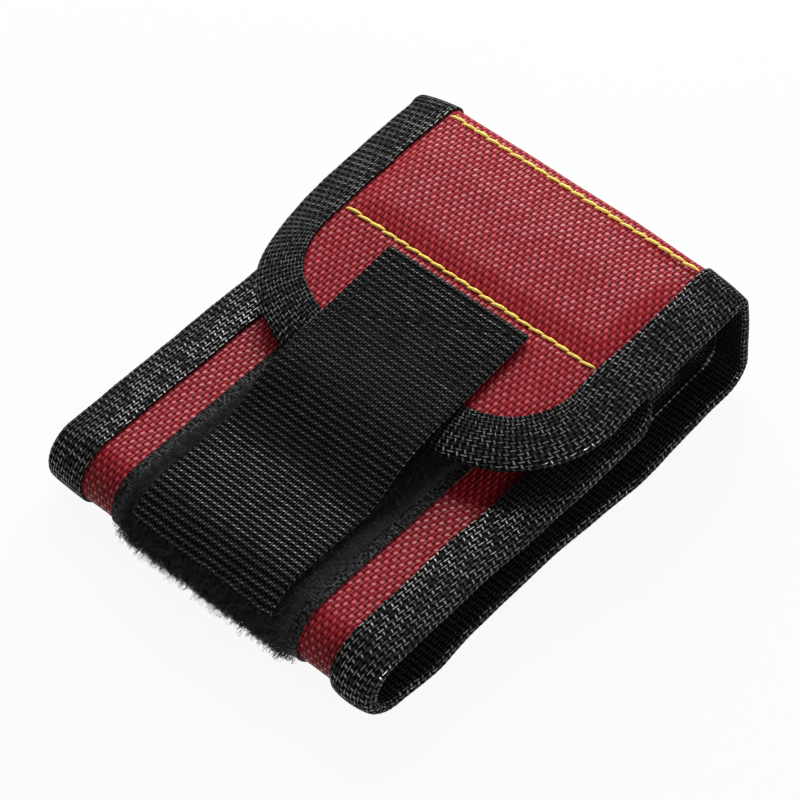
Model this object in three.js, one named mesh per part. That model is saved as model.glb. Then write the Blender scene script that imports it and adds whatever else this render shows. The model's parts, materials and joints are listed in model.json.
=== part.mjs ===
// A magnetic tool wristband, closed and laid on its back.
// One long band of cloth is bound round its edge and folded into a loop. Three sewn pockets hold rows
// of disc magnets. A sewn hook strap reaches over the folded end and fastens on a loop tape.
// Every cloth piece is drawn in the flat, by a distance x across the band, a distance s along it from
// the tip of the tab and a height off its outer face, and is then carried round the fold.
// The band lies along Y, X runs across it and Z is up.

import * as THREE from "three";

// Driving dimensions, in millimetres and degrees.

// Band and its layers
const BAND_WIDTH = 90;
const SHELL_THICKNESS = 0.6;
const LINING_THICKNESS = 0.4;
const LAYER_GAP = 0.15;
const BINDING_THICKNESS = 0.5;
const BINDING_LEAF = 10.5;
const RIM_RADIUS = 0.8;
const HINGE_GAP = 0.3;
const FLAP_DROOP = 2.6;
const WALL_DROOP = 1;
const LOOP_DROOP = 1;

// Fold, walked from the tip of the tab round to the loop end
const TAB_LENGTH = 33;
const TAB_SLOPE = 6.8;
const TAB_CORNER = 28;
const FLAP_LENGTH = 33.6;
const FLAP_SLOPE = 4;
const FLAP_EASE = 14;
const SHOULDER_RADIUS = 5;
const WALL_LENGTH = 19.1;
const WALL_LEAN = 5;
const HEEL_RADIUS = 7;
const BASE_LENGTH = 104.5;
const NEAR_RADIUS = 8;
const UNDER_LENGTH = 86;
const UNDER_CORNER = 12.5;
const BEND_STEP = 13;

// Pockets, their carriers and magnets
const BASE_POCKET = 33;
const POCKET_MARGIN = 4.6;
const WALL_MARGIN = 3;
const POCKET_RAMP = 2.4;
const CARRIER_INSET = 2.5;
const CARRIER_THICKNESS = 1.8;
const MAGNET_DIAMETER = 10;
const MAGNET_THICKNESS = 1.5;
const MAGNET_PITCH = 12.4;
const MAGNET_CLEARANCE = 0.3;

// Hook and loop closure
const TAPE_WIDTH = 51;
const TAPE_THICKNESS = 1.4;
const TAPE_WRAP = 150;
const STRAP_WIDTH = 38;
const STRAP_THICKNESS = 1.1;
const STRAP_SETBACK = 1.2;
const STRAP_LAP = 0.4;
const STRAP_OVERHANG = 0.8;
const STRAP_BEND = 20;
const STRAP_WRAP = 57;
const HOOK_GAP = 0.25;

// Thread
const THREAD_RADIUS = 0.24;
const STITCH_LENGTH = 3.4;
const STITCH_INSET = 1;
const SHOULDER_SEAM = 0.8;
const BOX_LINE = 0.7;
const BOX_MARGIN = 3;
const BOX_HEIGHT = 0.3;

const DEG = Math.PI / 180;
const HALF = BAND_WIDTH / 2;

const RED = dyed(0x8f2230, 0.55);
const BLACK = dyed(0x191919, 0.8);
const LINING = dyed(0x202022, 0.75);
const LOOP = dyed(0x121212, 1);
const WEBBING = dyed(0x1c1c1c, 0.7);
const FOAM = dyed(0x3b3b3e, 0.95);
const THREAD = dyed(0xd9a62c, 0.5);
const DARK_THREAD = dyed(0x101010, 0.6);
const NICKEL = new THREE.MeshStandardMaterial({ color: 0xb9babd, roughness: 0.25, metalness: 1 });

function dyed(color, roughness) {
  return new THREE.MeshStandardMaterial({ color, roughness, metalness: 0 });
}

// A side view of the band as straight and bent runs. Headings turn to the right as it is walked, and
// the outer face of the cloth is on the left.
class Fold {
  constructor(y, z, heading) {
    this.pen = { y, z, heading: heading * DEG };
    this.length = 0;
    this.runs = [];
  }

  straight(length) {
    return this.add(length, 0);
  }

  bend(radius, turn) {
    return this.add(radius * Math.abs(turn) * DEG, turn);
  }

  add(length, turn) {
    const run = { ...this.pen, start: this.length, length, turn, curve: (turn * DEG) / length };
    this.runs.push(run);
    this.length += length;
    this.pen = this.along(run, length);
    return this;
  }

  along(run, distance) {
    const heading = run.heading - run.curve * distance;
    if (run.turn === 0) {
      const y = run.y + Math.cos(heading) * distance;
      const z = run.z + Math.sin(heading) * distance;
      return { y, z, heading };
    }
    const y = run.y + (Math.sin(run.heading) - Math.sin(heading)) / run.curve;
    const z = run.z + (Math.cos(heading) - Math.cos(run.heading)) / run.curve;
    return { y, z, heading };
  }

  at(s) {
    const later = this.runs.findIndex((run) => s < run.start + run.length);
    const run = this.runs.at(later);
    return this.along(run, s - run.start);
  }

  point(x, s, height) {
    const { y, z, heading } = this.at(s);
    return new THREE.Vector3(x, y - Math.sin(heading) * height, z + Math.cos(heading) * height);
  }

  move(y, z) {
    for (const run of this.runs) {
      run.y += y;
      run.z += z;
    }
  }

  // Where a piece from one distance to another needs a row of points
  rows(from, to, extra = []) {
    const marks = [from, to, ...extra];
    for (const run of this.runs) {
      const steps = Math.max(1, Math.round(Math.abs(run.turn) / BEND_STEP));
      for (let i = 0; i <= steps; i += 1) {
        marks.push(run.start + (run.length * i) / steps);
      }
    }
    const inside = marks.filter((s) => s >= from && s <= to).sort((a, b) => a - b);
    return inside.filter((s, i) => i === 0 || s - inside[i - 1] > 1e-6);
  }
}

// Heights of the layers off the outer face of the shell
const SHELL_INSIDE = -SHELL_THICKNESS;
const LINING_OUTSIDE = SHELL_INSIDE - LAYER_GAP;
const LINING_INSIDE = LINING_OUTSIDE - LINING_THICKNESS;
const BINDING_OUTSIDE = LAYER_GAP + BINDING_THICKNESS;
const BINDING_INSIDE = LINING_INSIDE - LAYER_GAP - BINDING_THICKNESS;
const POCKET_DEPTH = CARRIER_THICKNESS + LAYER_GAP;
const TAPE_OUTSIDE = LAYER_GAP + TAPE_THICKNESS;
const STRAP_LIFT = BINDING_OUTSIDE + LAYER_GAP;
const CLOTH_INSET = BINDING_THICKNESS + LAYER_GAP;

// Widths that follow from the band
const CARRIER_WIDTH = BAND_WIDTH - 2 * (BINDING_LEAF + CARRIER_INSET);
const MAGNET_COUNT = Math.floor(CARRIER_WIDTH / MAGNET_PITCH);

// Marks along the band
const FLAP_START = TAB_LENGTH;
const EASE_LENGTH = FLAP_EASE * (TAB_SLOPE - FLAP_SLOPE) * DEG;
const STRAP_START = TAB_LENGTH - EASE_LENGTH - STRAP_SETBACK;
const STRAP_SEWN = STRAP_START - BINDING_LEAF + STRAP_LAP;
const SHOULDER_START = FLAP_START + FLAP_LENGTH;
const SHOULDER_TURN = 90 + FLAP_SLOPE - WALL_LEAN;
const HEEL_TURN = 90 + WALL_LEAN;
const WALL_START = SHOULDER_START + SHOULDER_RADIUS * SHOULDER_TURN * DEG;
const HEEL_START = WALL_START + WALL_LENGTH;
const BASE_START = HEEL_START + HEEL_RADIUS * HEEL_TURN * DEG;
const NEAR_START = BASE_START + BASE_LENGTH;
const UNDER_START = NEAR_START + NEAR_RADIUS * 180 * DEG;
const UNDER_END = UNDER_START + UNDER_LENGTH;

const fold = new Fold(0, 0, TAB_SLOPE)
  .straight(TAB_LENGTH - EASE_LENGTH)
  .bend(FLAP_EASE, TAB_SLOPE - FLAP_SLOPE)
  .straight(FLAP_LENGTH)
  .bend(SHOULDER_RADIUS, SHOULDER_TURN)
  .straight(WALL_LENGTH)
  .bend(HEEL_RADIUS, HEEL_TURN)
  .straight(BASE_LENGTH)
  .bend(NEAR_RADIUS, 180)
  .straight(UNDER_LENGTH);

// The base rests on its bindings, and the loop is centred between its two ends
const farthest = fold.at(HEEL_START + HEEL_RADIUS * WALL_LEAN * DEG).y + BINDING_OUTSIDE;
const nearest = fold.at(NEAR_START).y - NEAR_RADIUS - TAPE_OUTSIDE;
fold.move(-(farthest + nearest) / 2, BINDING_OUTSIDE - fold.at(BASE_START).z);

// The underside of the strap, walked from its free end up on to the tab
const tapeTop = fold.at(UNDER_START).z + TAPE_OUTSIDE + HOOK_GAP;
const tip = fold.point(0, -STRAP_OVERHANG, STRAP_LIFT);
const rise = tip.z - tapeTop;
const climb = Math.acos((1 + Math.cos(TAB_SLOPE * DEG) - rise / STRAP_BEND) / 2) / DEG;
const climbRun = STRAP_BEND * (2 * Math.sin(climb * DEG) - Math.sin(TAB_SLOPE * DEG));
const wrapRadius = NEAR_RADIUS + TAPE_OUTSIDE + HOOK_GAP;
const strapRun = tip.y - climbRun - fold.at(UNDER_START).y;
const strapFold = new Fold(0, 0, STRAP_WRAP)
  .bend(wrapRadius, STRAP_WRAP)
  .straight(strapRun)
  .bend(STRAP_BEND, -climb)
  .bend(STRAP_BEND, climb - TAB_SLOPE)
  .straight(STRAP_OVERHANG + STRAP_START);
const strapTip = strapFold.at(strapFold.length - STRAP_OVERHANG - STRAP_START);
strapFold.move(tip.y - strapTip.y, tip.z - strapTip.z);
const STRAP_FOOT = strapFold.length - STRAP_SEWN;

// How far the bound edge hangs below the cloth inside it, at each distance along the band
function droop(s) {
  const share = (from, to) => THREE.MathUtils.clamp((s - from) / (to - from), 0, 1);
  const shoulder = (WALL_DROOP - FLAP_DROOP) * share(SHOULDER_START, WALL_START);
  const heel = -WALL_DROOP * share(HEEL_START, BASE_START);
  const near = LOOP_DROOP * share(NEAR_START, UNDER_START);
  return FLAP_DROOP + shoulder + heel + near;
}

// The part of that droop at an inset from the edge
const hang = (inset) => Math.max(0, 1 - inset / BINDING_LEAF);

// A closed solid from points and faces, turned so that its faces look outward.
function solid(points, faces) {
  let volume = 0;
  for (const [a, b, c] of faces) {
    volume += points[a].dot(points[b].clone().cross(points[c]));
  }
  const outward = volume > 0 ? faces : faces.map(([a, b, c]) => [a, c, b]);
  const geometry = new THREE.BufferGeometry().setFromPoints(points);
  geometry.setIndex(outward.flat());
  geometry.computeVertexNormals();
  return geometry;
}

function quad(a, b, c, d) {
  return [[a, b, c], [a, c, d]];
}

// A cloth piece: a grid of flat points, folded at two heights and closed round its edge.
function sheet(path, grid, outer, inner, capped = false) {
  const wide = grid[0].length;
  const flat = grid.flat();
  const front = flat.map((point) => path.point(point.x, point.s, outer(point)));
  const rear = flat.map((point) => path.point(point.x, point.s, inner(point)));
  const back = flat.length;
  const faces = [];
  const face = (a, b, c, d) => {
    faces.push(...quad(a, b, c, d), ...quad(back + a, back + d, back + c, back + b));
  };
  for (let i = 0; i + 1 < grid.length; i += 1) {
    for (let j = 0; j + 1 < wide; j += 1) {
      const a = i * wide + j;
      face(a, a + 1, a + wide + 1, a + wide);
    }
  }
  const last = grid.length - 1;
  const across = [...Array(wide).keys()];
  const down = [...Array(grid.length).keys()];
  const end = across.slice(0, -1).reverse();
  const rim = [
    ...across,
    ...down.slice(1).map((i) => i * wide + wide - 1),
    ...(capped ? [0] : end).map((j) => last * wide + j),
    ...down.slice(1, -1).reverse().map((i) => i * wide),
  ];
  if (capped) {
    face(...across.map((j) => last * wide + j));
  }
  rim.forEach((a, k) => {
    const b = rim[(k + 1) % rim.length];
    faces.push(...quad(b, a, back + a, back + b));
  });
  return solid([...front, ...rear], faces);
}

const flatGrid = (rows, columns) => rows.map((s) => columns.map((x) => ({ x, s })));

// A plain strip between two distances
function strip(path, from, to, width, outer, inner) {
  const grid = flatGrid(path.rows(from, to), [-width / 2, width / 2]);
  return sheet(path, grid, () => outer, () => inner);
}

// A length of cloth of the band, which hangs with its bound edges
function cloth(grid, outer, inner, capped) {
  const lower = (height) => (point) => height(point) - point.hang * droop(point.s);
  return sheet(fold, grid, lower(outer), lower(inner), capped);
}

function bandGrid(rows, columns) {
  return rows.map((s) => columns.map((x) => ({ x, s, hang: hang(HALF - Math.abs(x)) })));
}

const EDGE_COLUMNS = [HALF - CLOTH_INSET, HALF - BINDING_LEAF];
const BAND_COLUMNS = [...EDGE_COLUMNS.map((x) => -x), ...[...EDGE_COLUMNS].reverse()];

function bandCloth(from, to, outer, inner) {
  return cloth(bandGrid(fold.rows(from, to), BAND_COLUMNS), () => outer, () => inner);
}

// A panel with a rounded end, in rows from one side of its bound edge to the other
function roundedCloth(root, end, corner, outer, inner) {
  const grid = roundedSide(root, end, corner).map(({ x, s, inX, inS }) => {
    const half = [CLOTH_INSET, BINDING_LEAF].map((inset) => {
      return { x: x + inset * inX, s: s + inset * inS, hang: hang(inset) };
    });
    return [...half, ...half.map((point) => ({ ...point, x: -point.x })).reverse()];
  });
  return cloth(grid, () => outer, () => inner, true);
}

// A tape folded over an edge: one section carried along the edge and closed at both ends.
const SECTION = bindingSection();

function bindingSection() {
  const top = BINDING_OUTSIDE;
  const low = BINDING_INSIDE;
  const soft = RIM_RADIUS * (1 - Math.SQRT1_2);
  const pairs = [
    [BINDING_LEAF, top], [RIM_RADIUS, top], [soft, top - soft], [0, top - RIM_RADIUS],
    [0, low + RIM_RADIUS], [soft, low + soft], [RIM_RADIUS, low], [BINDING_LEAF, low],
    [BINDING_LEAF, low + BINDING_THICKNESS], [BINDING_THICKNESS, low + BINDING_THICKNESS],
    [BINDING_THICKNESS, top - BINDING_THICKNESS], [BINDING_LEAF, top - BINDING_THICKNESS],
  ];
  return pairs.map(([inset, height]) => new THREE.Vector2(inset, height));
}

function boundEdge(edge) {
  const points = edge.flatMap(({ x, s, inX, inS }) =>
    SECTION.map((p) => {
      const along = s + p.x * inS;
      return fold.point(x + p.x * inX, along, p.y - hang(p.x) * droop(along));
    }),
  );
  const around = SECTION.length;
  const faces = [];
  for (let i = 0; i + 1 < edge.length; i += 1) {
    for (let k = 0; k < around; k += 1) {
      const a = i * around + k;
      const b = i * around + ((k + 1) % around);
      faces.push(...quad(a, b, b + around, a + around));
    }
  }
  const end = (edge.length - 1) * around;
  const clockwise = THREE.ShapeUtils.isClockWise(SECTION);
  for (const [a, b, c] of THREE.ShapeUtils.triangulateShape(SECTION, [])) {
    const cap = clockwise ? [a, b, c] : [a, c, b];
    faces.push(cap, [end + cap[0], end + cap[2], end + cap[1]]);
  }
  return solid(points, faces);
}

function sideEdge(from, to, side) {
  return fold.rows(from, to).map((s) => ({ x: side * HALF, s, inX: -side, inS: 0 }));
}

function roundedSide(root, end, corner) {
  const way = Math.sign(end - root);
  const steps = Math.round(90 / BEND_STEP) + 1;
  const half = [{ x: HALF, s: root, inX: -1, inS: 0 }];
  for (let i = 0; i <= steps; i += 1) {
    const angle = (i * 90 * DEG) / steps;
    const inX = -Math.cos(angle);
    const inS = -way * Math.sin(angle);
    half.push({ x: HALF - corner - corner * inX, s: end - way * corner - corner * inS, inX, inS });
  }
  return half;
}

function roundedEdge(root, end, corner) {
  const half = roundedSide(root, end, corner);
  const mirrored = half.map((p) => ({ ...p, x: -p.x, inX: -p.inX })).reverse();
  return [...half, ...mirrored];
}

// A frame that stands on the outer face at one place, with its Y along the band and its Z outward
function panelFrame(s) {
  const frame = new THREE.Group();
  frame.position.copy(fold.point(0, s, 0));
  frame.rotation.x = fold.at(s).heading;
  return frame;
}

const band = new THREE.Group();
band.name = "magnetic_wristband";

function place(parent, name, geometry, material) {
  const mesh = new THREE.Mesh(geometry, material);
  mesh.name = name;
  parent.add(mesh);
  return mesh;
}

const SIDES = { left: -1, right: 1 };

function bindSides(name, from, to) {
  for (const [label, side] of Object.entries(SIDES)) {
    place(band, `binding_${name}_${label}`, boundEdge(sideEdge(from, to, side)), BLACK);
  }
}

function shellStrip(name, from, to) {
  place(band, `shell_${name}`, bandCloth(from, to, 0, SHELL_INSIDE), RED);
}

// A lining that steps inward round a carrier to make its pocket
function pocketLining(name, from, to, low, high) {
  const reach = CARRIER_WIDTH / 2 + MAGNET_CLEARANCE;
  const share = (value, start, stop) => THREE.MathUtils.smoothstep(value, start, stop);
  const ends = [low - MAGNET_CLEARANCE, high + MAGNET_CLEARANCE];
  const depth = ({ x, s }) => {
    const outX = 1 - share(Math.abs(x), reach, reach + POCKET_RAMP);
    const outS = share(s, ends[0] - POCKET_RAMP, ends[0]) * (1 - share(s, ends[1], ends[1] + POCKET_RAMP));
    return POCKET_DEPTH * outX * outS;
  };
  const parts = [0, 1 / 3, 2 / 3, 1];
  const steps = parts.map((part) => part * POCKET_RAMP);
  const rows = fold.rows(from, to, [
    ...steps.map((step) => ends[0] - step),
    ...steps.map((step) => ends[1] + step),
  ]);
  const outside = [...EDGE_COLUMNS, ...steps.map((step) => reach + step)].sort((a, b) => b - a);
  const columns = [...outside.map((x) => -x), ...outside.reverse()];
  const outer = (point) => LINING_OUTSIDE - depth(point);
  const inner = (point) => LINING_INSIDE - depth(point);
  place(band, `lining_${name}`, cloth(bandGrid(rows, columns), outer, inner), LINING);
}

// A foam carrier with a row of disc magnets in its holes
function pocketFill(name, low, high) {
  const frame = panelFrame((low + high) / 2);
  band.add(frame);
  const half = (high - low) / 2;
  const outline = new THREE.Shape([
    new THREE.Vector2(-CARRIER_WIDTH / 2, -half),
    new THREE.Vector2(CARRIER_WIDTH / 2, -half),
    new THREE.Vector2(CARRIER_WIDTH / 2, half),
    new THREE.Vector2(-CARRIER_WIDTH / 2, half),
  ]);
  const radius = MAGNET_DIAMETER / 2;
  const centres = Array.from({ length: MAGNET_COUNT }, (_, i) => (i - (MAGNET_COUNT - 1) / 2) * MAGNET_PITCH);
  for (const x of centres) {
    outline.holes.push(new THREE.Path().absarc(x, 0, radius + MAGNET_CLEARANCE, 0, 2 * Math.PI, true));
  }
  const foam = new THREE.ExtrudeGeometry(outline, {
    depth: CARRIER_THICKNESS,
    bevelEnabled: false,
    curveSegments: 20,
  });
  const floor = LINING_OUTSIDE - CARRIER_THICKNESS;
  place(frame, `carrier_${name}`, foam, FOAM).position.z = floor;
  centres.forEach((x, i) => {
    const disc = new THREE.CylinderGeometry(radius, radius, MAGNET_THICKNESS, 20);
    disc.rotateX(90 * DEG);
    const magnet = place(frame, `magnet_${name}_${i + 1}`, disc, NICKEL);
    magnet.position.set(x, 0, floor + CARRIER_THICKNESS / 2);
  });
}

// A row of lockstitches across the band: one thread that narrows where it enters the cloth
function stitchRow(name, s) {
  const length = BAND_WIDTH - 2 * BINDING_LEAF - 2 * STITCH_INSET;
  const count = Math.round(length / STITCH_LENGTH);
  const pitch = length / count;
  const thin = THREAD_RADIUS * 0.55;
  const profile = [new THREE.Vector2(0, -length / 2), new THREE.Vector2(thin, -length / 2)];
  for (let i = 0; i < count; i += 1) {
    const start = -length / 2 + i * pitch;
    profile.push(new THREE.Vector2(THREAD_RADIUS, start + pitch * 0.25));
    profile.push(new THREE.Vector2(THREAD_RADIUS, start + pitch * 0.75));
    profile.push(new THREE.Vector2(thin, start + pitch));
  }
  profile.push(new THREE.Vector2(0, length / 2));
  const frame = panelFrame(s);
  band.add(frame);
  const thread = new THREE.LatheGeometry(profile, 6);
  thread.rotateZ(90 * DEG);
  place(frame, `stitch_row_${name}`, thread, THREAD).position.z = THREAD_RADIUS + LAYER_GAP;
}

const BUTT = HINGE_GAP / 2;

// Tab with the sewn end of the strap on it
const tabRoot = FLAP_START - BUTT;
place(band, "shell_tab", roundedCloth(tabRoot, 0, TAB_CORNER, 0, SHELL_INSIDE), RED);
place(band, "lining_tab", roundedCloth(tabRoot, 0, TAB_CORNER, LINING_OUTSIDE, LINING_INSIDE), LINING);
place(band, "binding_tab", boundEdge(roundedEdge(tabRoot, 0, TAB_CORNER)), BLACK);

// Flap, wall and base with their pockets
const flapSpan = [FLAP_START + BUTT, SHOULDER_START - BUTT];
const flapPocket = [FLAP_START + POCKET_MARGIN, SHOULDER_START - POCKET_MARGIN];
shellStrip("flap", ...flapSpan);
bindSides("flap", ...flapSpan);
pocketLining("flap", ...flapSpan, ...flapPocket);
pocketFill("flap", ...flapPocket);

const wallSpan = [SHOULDER_START + BUTT, HEEL_START - BUTT];
const wallPocket = [WALL_START + WALL_MARGIN, HEEL_START - WALL_MARGIN];
shellStrip("shoulder", wallSpan[0], WALL_START - BUTT);
shellStrip("wall", WALL_START + BUTT, wallSpan[1]);
bindSides("shoulder", wallSpan[0], WALL_START - BUTT);
bindSides("wall", WALL_START + BUTT, wallSpan[1]);
pocketLining("wall", ...wallSpan, ...wallPocket);
pocketFill("wall", ...wallPocket);

const baseSpan = [HEEL_START + BUTT, UNDER_START - BUTT];
const basePocket = [BASE_START + POCKET_MARGIN, BASE_START + BASE_POCKET - POCKET_MARGIN];
shellStrip("heel", baseSpan[0], BASE_START - BUTT);
shellStrip("base", BASE_START + BUTT, NEAR_START - BUTT);
shellStrip("near_fold", NEAR_START + BUTT, baseSpan[1]);
bindSides("heel", baseSpan[0], BASE_START - BUTT);
bindSides("base", BASE_START + BUTT, NEAR_START - BUTT);
bindSides("near_fold", NEAR_START + BUTT, baseSpan[1]);
pocketLining("base", ...baseSpan, ...basePocket);
pocketFill("base", ...basePocket);

// Loop end under the flap, with the loop tape carried on round the near fold
const underRoot = UNDER_START + BUTT;
place(band, "shell_under", roundedCloth(underRoot, UNDER_END, UNDER_CORNER, 0, SHELL_INSIDE), RED);
place(
  band,
  "lining_under",
  roundedCloth(underRoot, UNDER_END, UNDER_CORNER, LINING_OUTSIDE, LINING_INSIDE),
  LINING,
);
place(band, "binding_under", boundEdge(roundedEdge(underRoot, UNDER_END, UNDER_CORNER)), BLACK);
const tapeEnd = UNDER_END - BINDING_LEAF - LAYER_GAP;
const tapeStart = UNDER_START - NEAR_RADIUS * TAPE_WRAP * DEG;
place(band, "loop_tape_under", strip(fold, underRoot, tapeEnd, TAPE_WIDTH, TAPE_OUTSIDE, LAYER_GAP), LOOP);
place(
  band,
  "loop_tape_fold",
  strip(fold, tapeStart, UNDER_START - BUTT, TAPE_WIDTH, TAPE_OUTSIDE, LAYER_GAP),
  LOOP,
);

// Hook strap, sewn to the tab up to its foot and free beyond it
const strapEnds = { sewn: [STRAP_FOOT + BUTT, strapFold.length], free: [0, STRAP_FOOT - BUTT] };
for (const [name, [from, to]] of Object.entries(strapEnds)) {
  place(band, `strap_${name}`, strip(strapFold, from, to, STRAP_WIDTH, STRAP_THICKNESS, 0), WEBBING);
}

// Box and cross sewn through the strap
function crossBox(wide, tall) {
  const points = (list) => list.map(([x, y]) => new THREE.Vector2(x, y));
  const outline = new THREE.Shape(points([[-wide, -tall], [wide, -tall], [wide, tall], [-wide, tall]]));
  const spread = Math.hypot(wide, tall);
  const nearX = BOX_LINE + (BOX_LINE / 2) * (spread / tall);
  const nearY = BOX_LINE + (BOX_LINE / 2) * (spread / wide);
  const hubX = (BOX_LINE / 2) * (spread / tall);
  const hubY = (BOX_LINE / 2) * (spread / wide);
  const edgeX = wide - BOX_LINE;
  const edgeY = tall - BOX_LINE;
  for (const way of [-1, 1]) {
    outline.holes.push(new THREE.Path(points([
      [-wide + nearX, way * edgeY], [0, way * hubY], [wide - nearX, way * edgeY],
    ])));
    outline.holes.push(new THREE.Path(points([
      [way * edgeX, -tall + nearY], [way * hubX, 0], [way * edgeX, tall - nearY],
    ])));
  }
  return new THREE.ExtrudeGeometry(outline, { depth: BOX_HEIGHT, bevelEnabled: false });
}

const boxMiddle = strapFold.length - STRAP_SEWN / 2;
const boxFrame = new THREE.Group();
boxFrame.position.copy(strapFold.point(0, boxMiddle, STRAP_THICKNESS + LAYER_GAP));
boxFrame.rotation.x = strapFold.at(boxMiddle).heading;
band.add(boxFrame);
const boxWide = STRAP_WIDTH / 2 - BOX_MARGIN;
const boxTall = STRAP_SEWN / 2 - BOX_MARGIN / 2;
place(boxFrame, "strap_box_stitch", crossBox(boxWide, boxTall), DARK_THREAD);

// Pocket seams, numbered from the shoulder round the band
stitchRow("1", SHOULDER_START + SHOULDER_SEAM);
stitchRow("2", FLAP_START + STITCH_INSET);
stitchRow("3", BASE_START + STITCH_INSET);
stitchRow("4", BASE_START + BASE_POCKET);

export default band;
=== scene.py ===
"""Magnetic tool wristband, closed and lying on its back, dressed in cloth, tape, thread and pile.

Every cloth piece is cut flat, by a place x across the band and a distance s along it from the tip of
the tab, and is then carried round the same fold as the solids. UV maps hold that flat cut in
millimetres, so that each weave runs with its cloth.
"""

import json
import math
from functools import partialmethod

import bpy
import numpy as np
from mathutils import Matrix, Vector

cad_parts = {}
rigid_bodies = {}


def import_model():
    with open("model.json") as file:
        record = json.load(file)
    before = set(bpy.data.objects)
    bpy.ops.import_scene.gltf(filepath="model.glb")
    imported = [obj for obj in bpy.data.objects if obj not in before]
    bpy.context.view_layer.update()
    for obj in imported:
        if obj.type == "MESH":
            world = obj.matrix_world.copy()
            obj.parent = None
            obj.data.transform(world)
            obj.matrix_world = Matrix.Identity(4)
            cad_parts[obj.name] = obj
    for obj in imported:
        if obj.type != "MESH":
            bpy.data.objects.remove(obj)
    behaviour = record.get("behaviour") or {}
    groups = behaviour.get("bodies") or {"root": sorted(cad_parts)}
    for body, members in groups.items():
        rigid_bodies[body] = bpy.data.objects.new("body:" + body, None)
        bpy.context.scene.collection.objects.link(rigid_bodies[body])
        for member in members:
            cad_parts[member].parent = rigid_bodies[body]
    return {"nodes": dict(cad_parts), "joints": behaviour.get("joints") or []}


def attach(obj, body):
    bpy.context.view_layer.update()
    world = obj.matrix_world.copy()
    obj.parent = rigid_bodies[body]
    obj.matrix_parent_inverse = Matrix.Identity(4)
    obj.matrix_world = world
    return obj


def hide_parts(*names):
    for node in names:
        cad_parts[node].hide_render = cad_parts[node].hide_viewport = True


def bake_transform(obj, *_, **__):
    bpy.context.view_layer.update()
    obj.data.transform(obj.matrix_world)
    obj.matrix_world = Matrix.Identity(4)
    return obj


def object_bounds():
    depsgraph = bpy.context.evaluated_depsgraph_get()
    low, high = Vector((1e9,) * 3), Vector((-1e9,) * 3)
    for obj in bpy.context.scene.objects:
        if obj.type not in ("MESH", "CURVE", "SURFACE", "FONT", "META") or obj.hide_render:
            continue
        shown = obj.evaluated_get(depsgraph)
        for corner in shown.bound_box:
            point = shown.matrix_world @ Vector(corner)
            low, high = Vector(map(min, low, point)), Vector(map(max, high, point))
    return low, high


bl_info = {
    "name": "Magnetic wristband",
    "version": (1, 0, 0),
    "blender": (4, 5, 0),
    "location": "View3D > Sidebar > Wristband",
    "description": "Builds a bound and folded magnetic tool wristband over its solid frame",
    "category": "Add Mesh",
}

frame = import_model()
CAD_LOW, CAD_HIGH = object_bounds()

MM = 0.001
DEG = math.pi / 180
GAP = 0.15 * MM  # between two layers of cloth
PINS = {joint["name"]: Vector(joint["pos_m"]) for joint in frame["joints"]}

# Slack of the cloth: the middle of each slack place, how far it reaches and how deep it is
TAB_SLACK = (22 * MM, 11 * MM, 2.2 * MM)  # left edge, from the tip of the tab
CORNER_SLACK = (0, 9 * MM, 1.1 * MM)  # right edge, from the shoulder
LOOP_SLACK = (-31 * MM, 17 * MM, 1.3 * MM)  # right side, from the end of the loop end
NEAR_SLACK = (0, 8 * MM, 1.2 * MM)  # right edge, outwards, from the middle of the near fold
BASE_SLACK = (  # right edge, sideways, from the heel
    (29 * MM, 13 * MM, 1.2 * MM),
    (71 * MM, 8 * MM, -0.45 * MM),
    (94 * MM, 7 * MM, 0.8 * MM),
)
SEAM_SINK = (0, 0.9 * MM, 0.30 * MM)  # from a pocket seam
BOX_SINK = (0, 0.7 * MM, 0.14 * MM)  # from the seam that holds the strap
TAPE_BEAD = (-0.42 * MM, 0.28 * MM, 0.30 * MM)  # selvedge of the edge tape, from its inner edge
TAPE_RIB = 1.53 * MM  # from one weft of the edge tape to the next
EDGE_STEP = 0.38 * MM  # from one row of the edge tape's mesh to the next


# Sizes and colours


def length(name, description, millimetres):
    return bpy.props.FloatProperty(
        name=name, description=description, default=millimetres * MM, min=0, precision=5, unit="LENGTH"
    )


def angle(name, description, degrees):
    return bpy.props.FloatProperty(
        name=name, description=description, default=degrees * DEG, subtype="ANGLE"
    )


def colour(name, description, default):
    return bpy.props.FloatVectorProperty(
        name=name, description=description, default=default, size=3, min=0, max=1, subtype="COLOR"
    )


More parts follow.
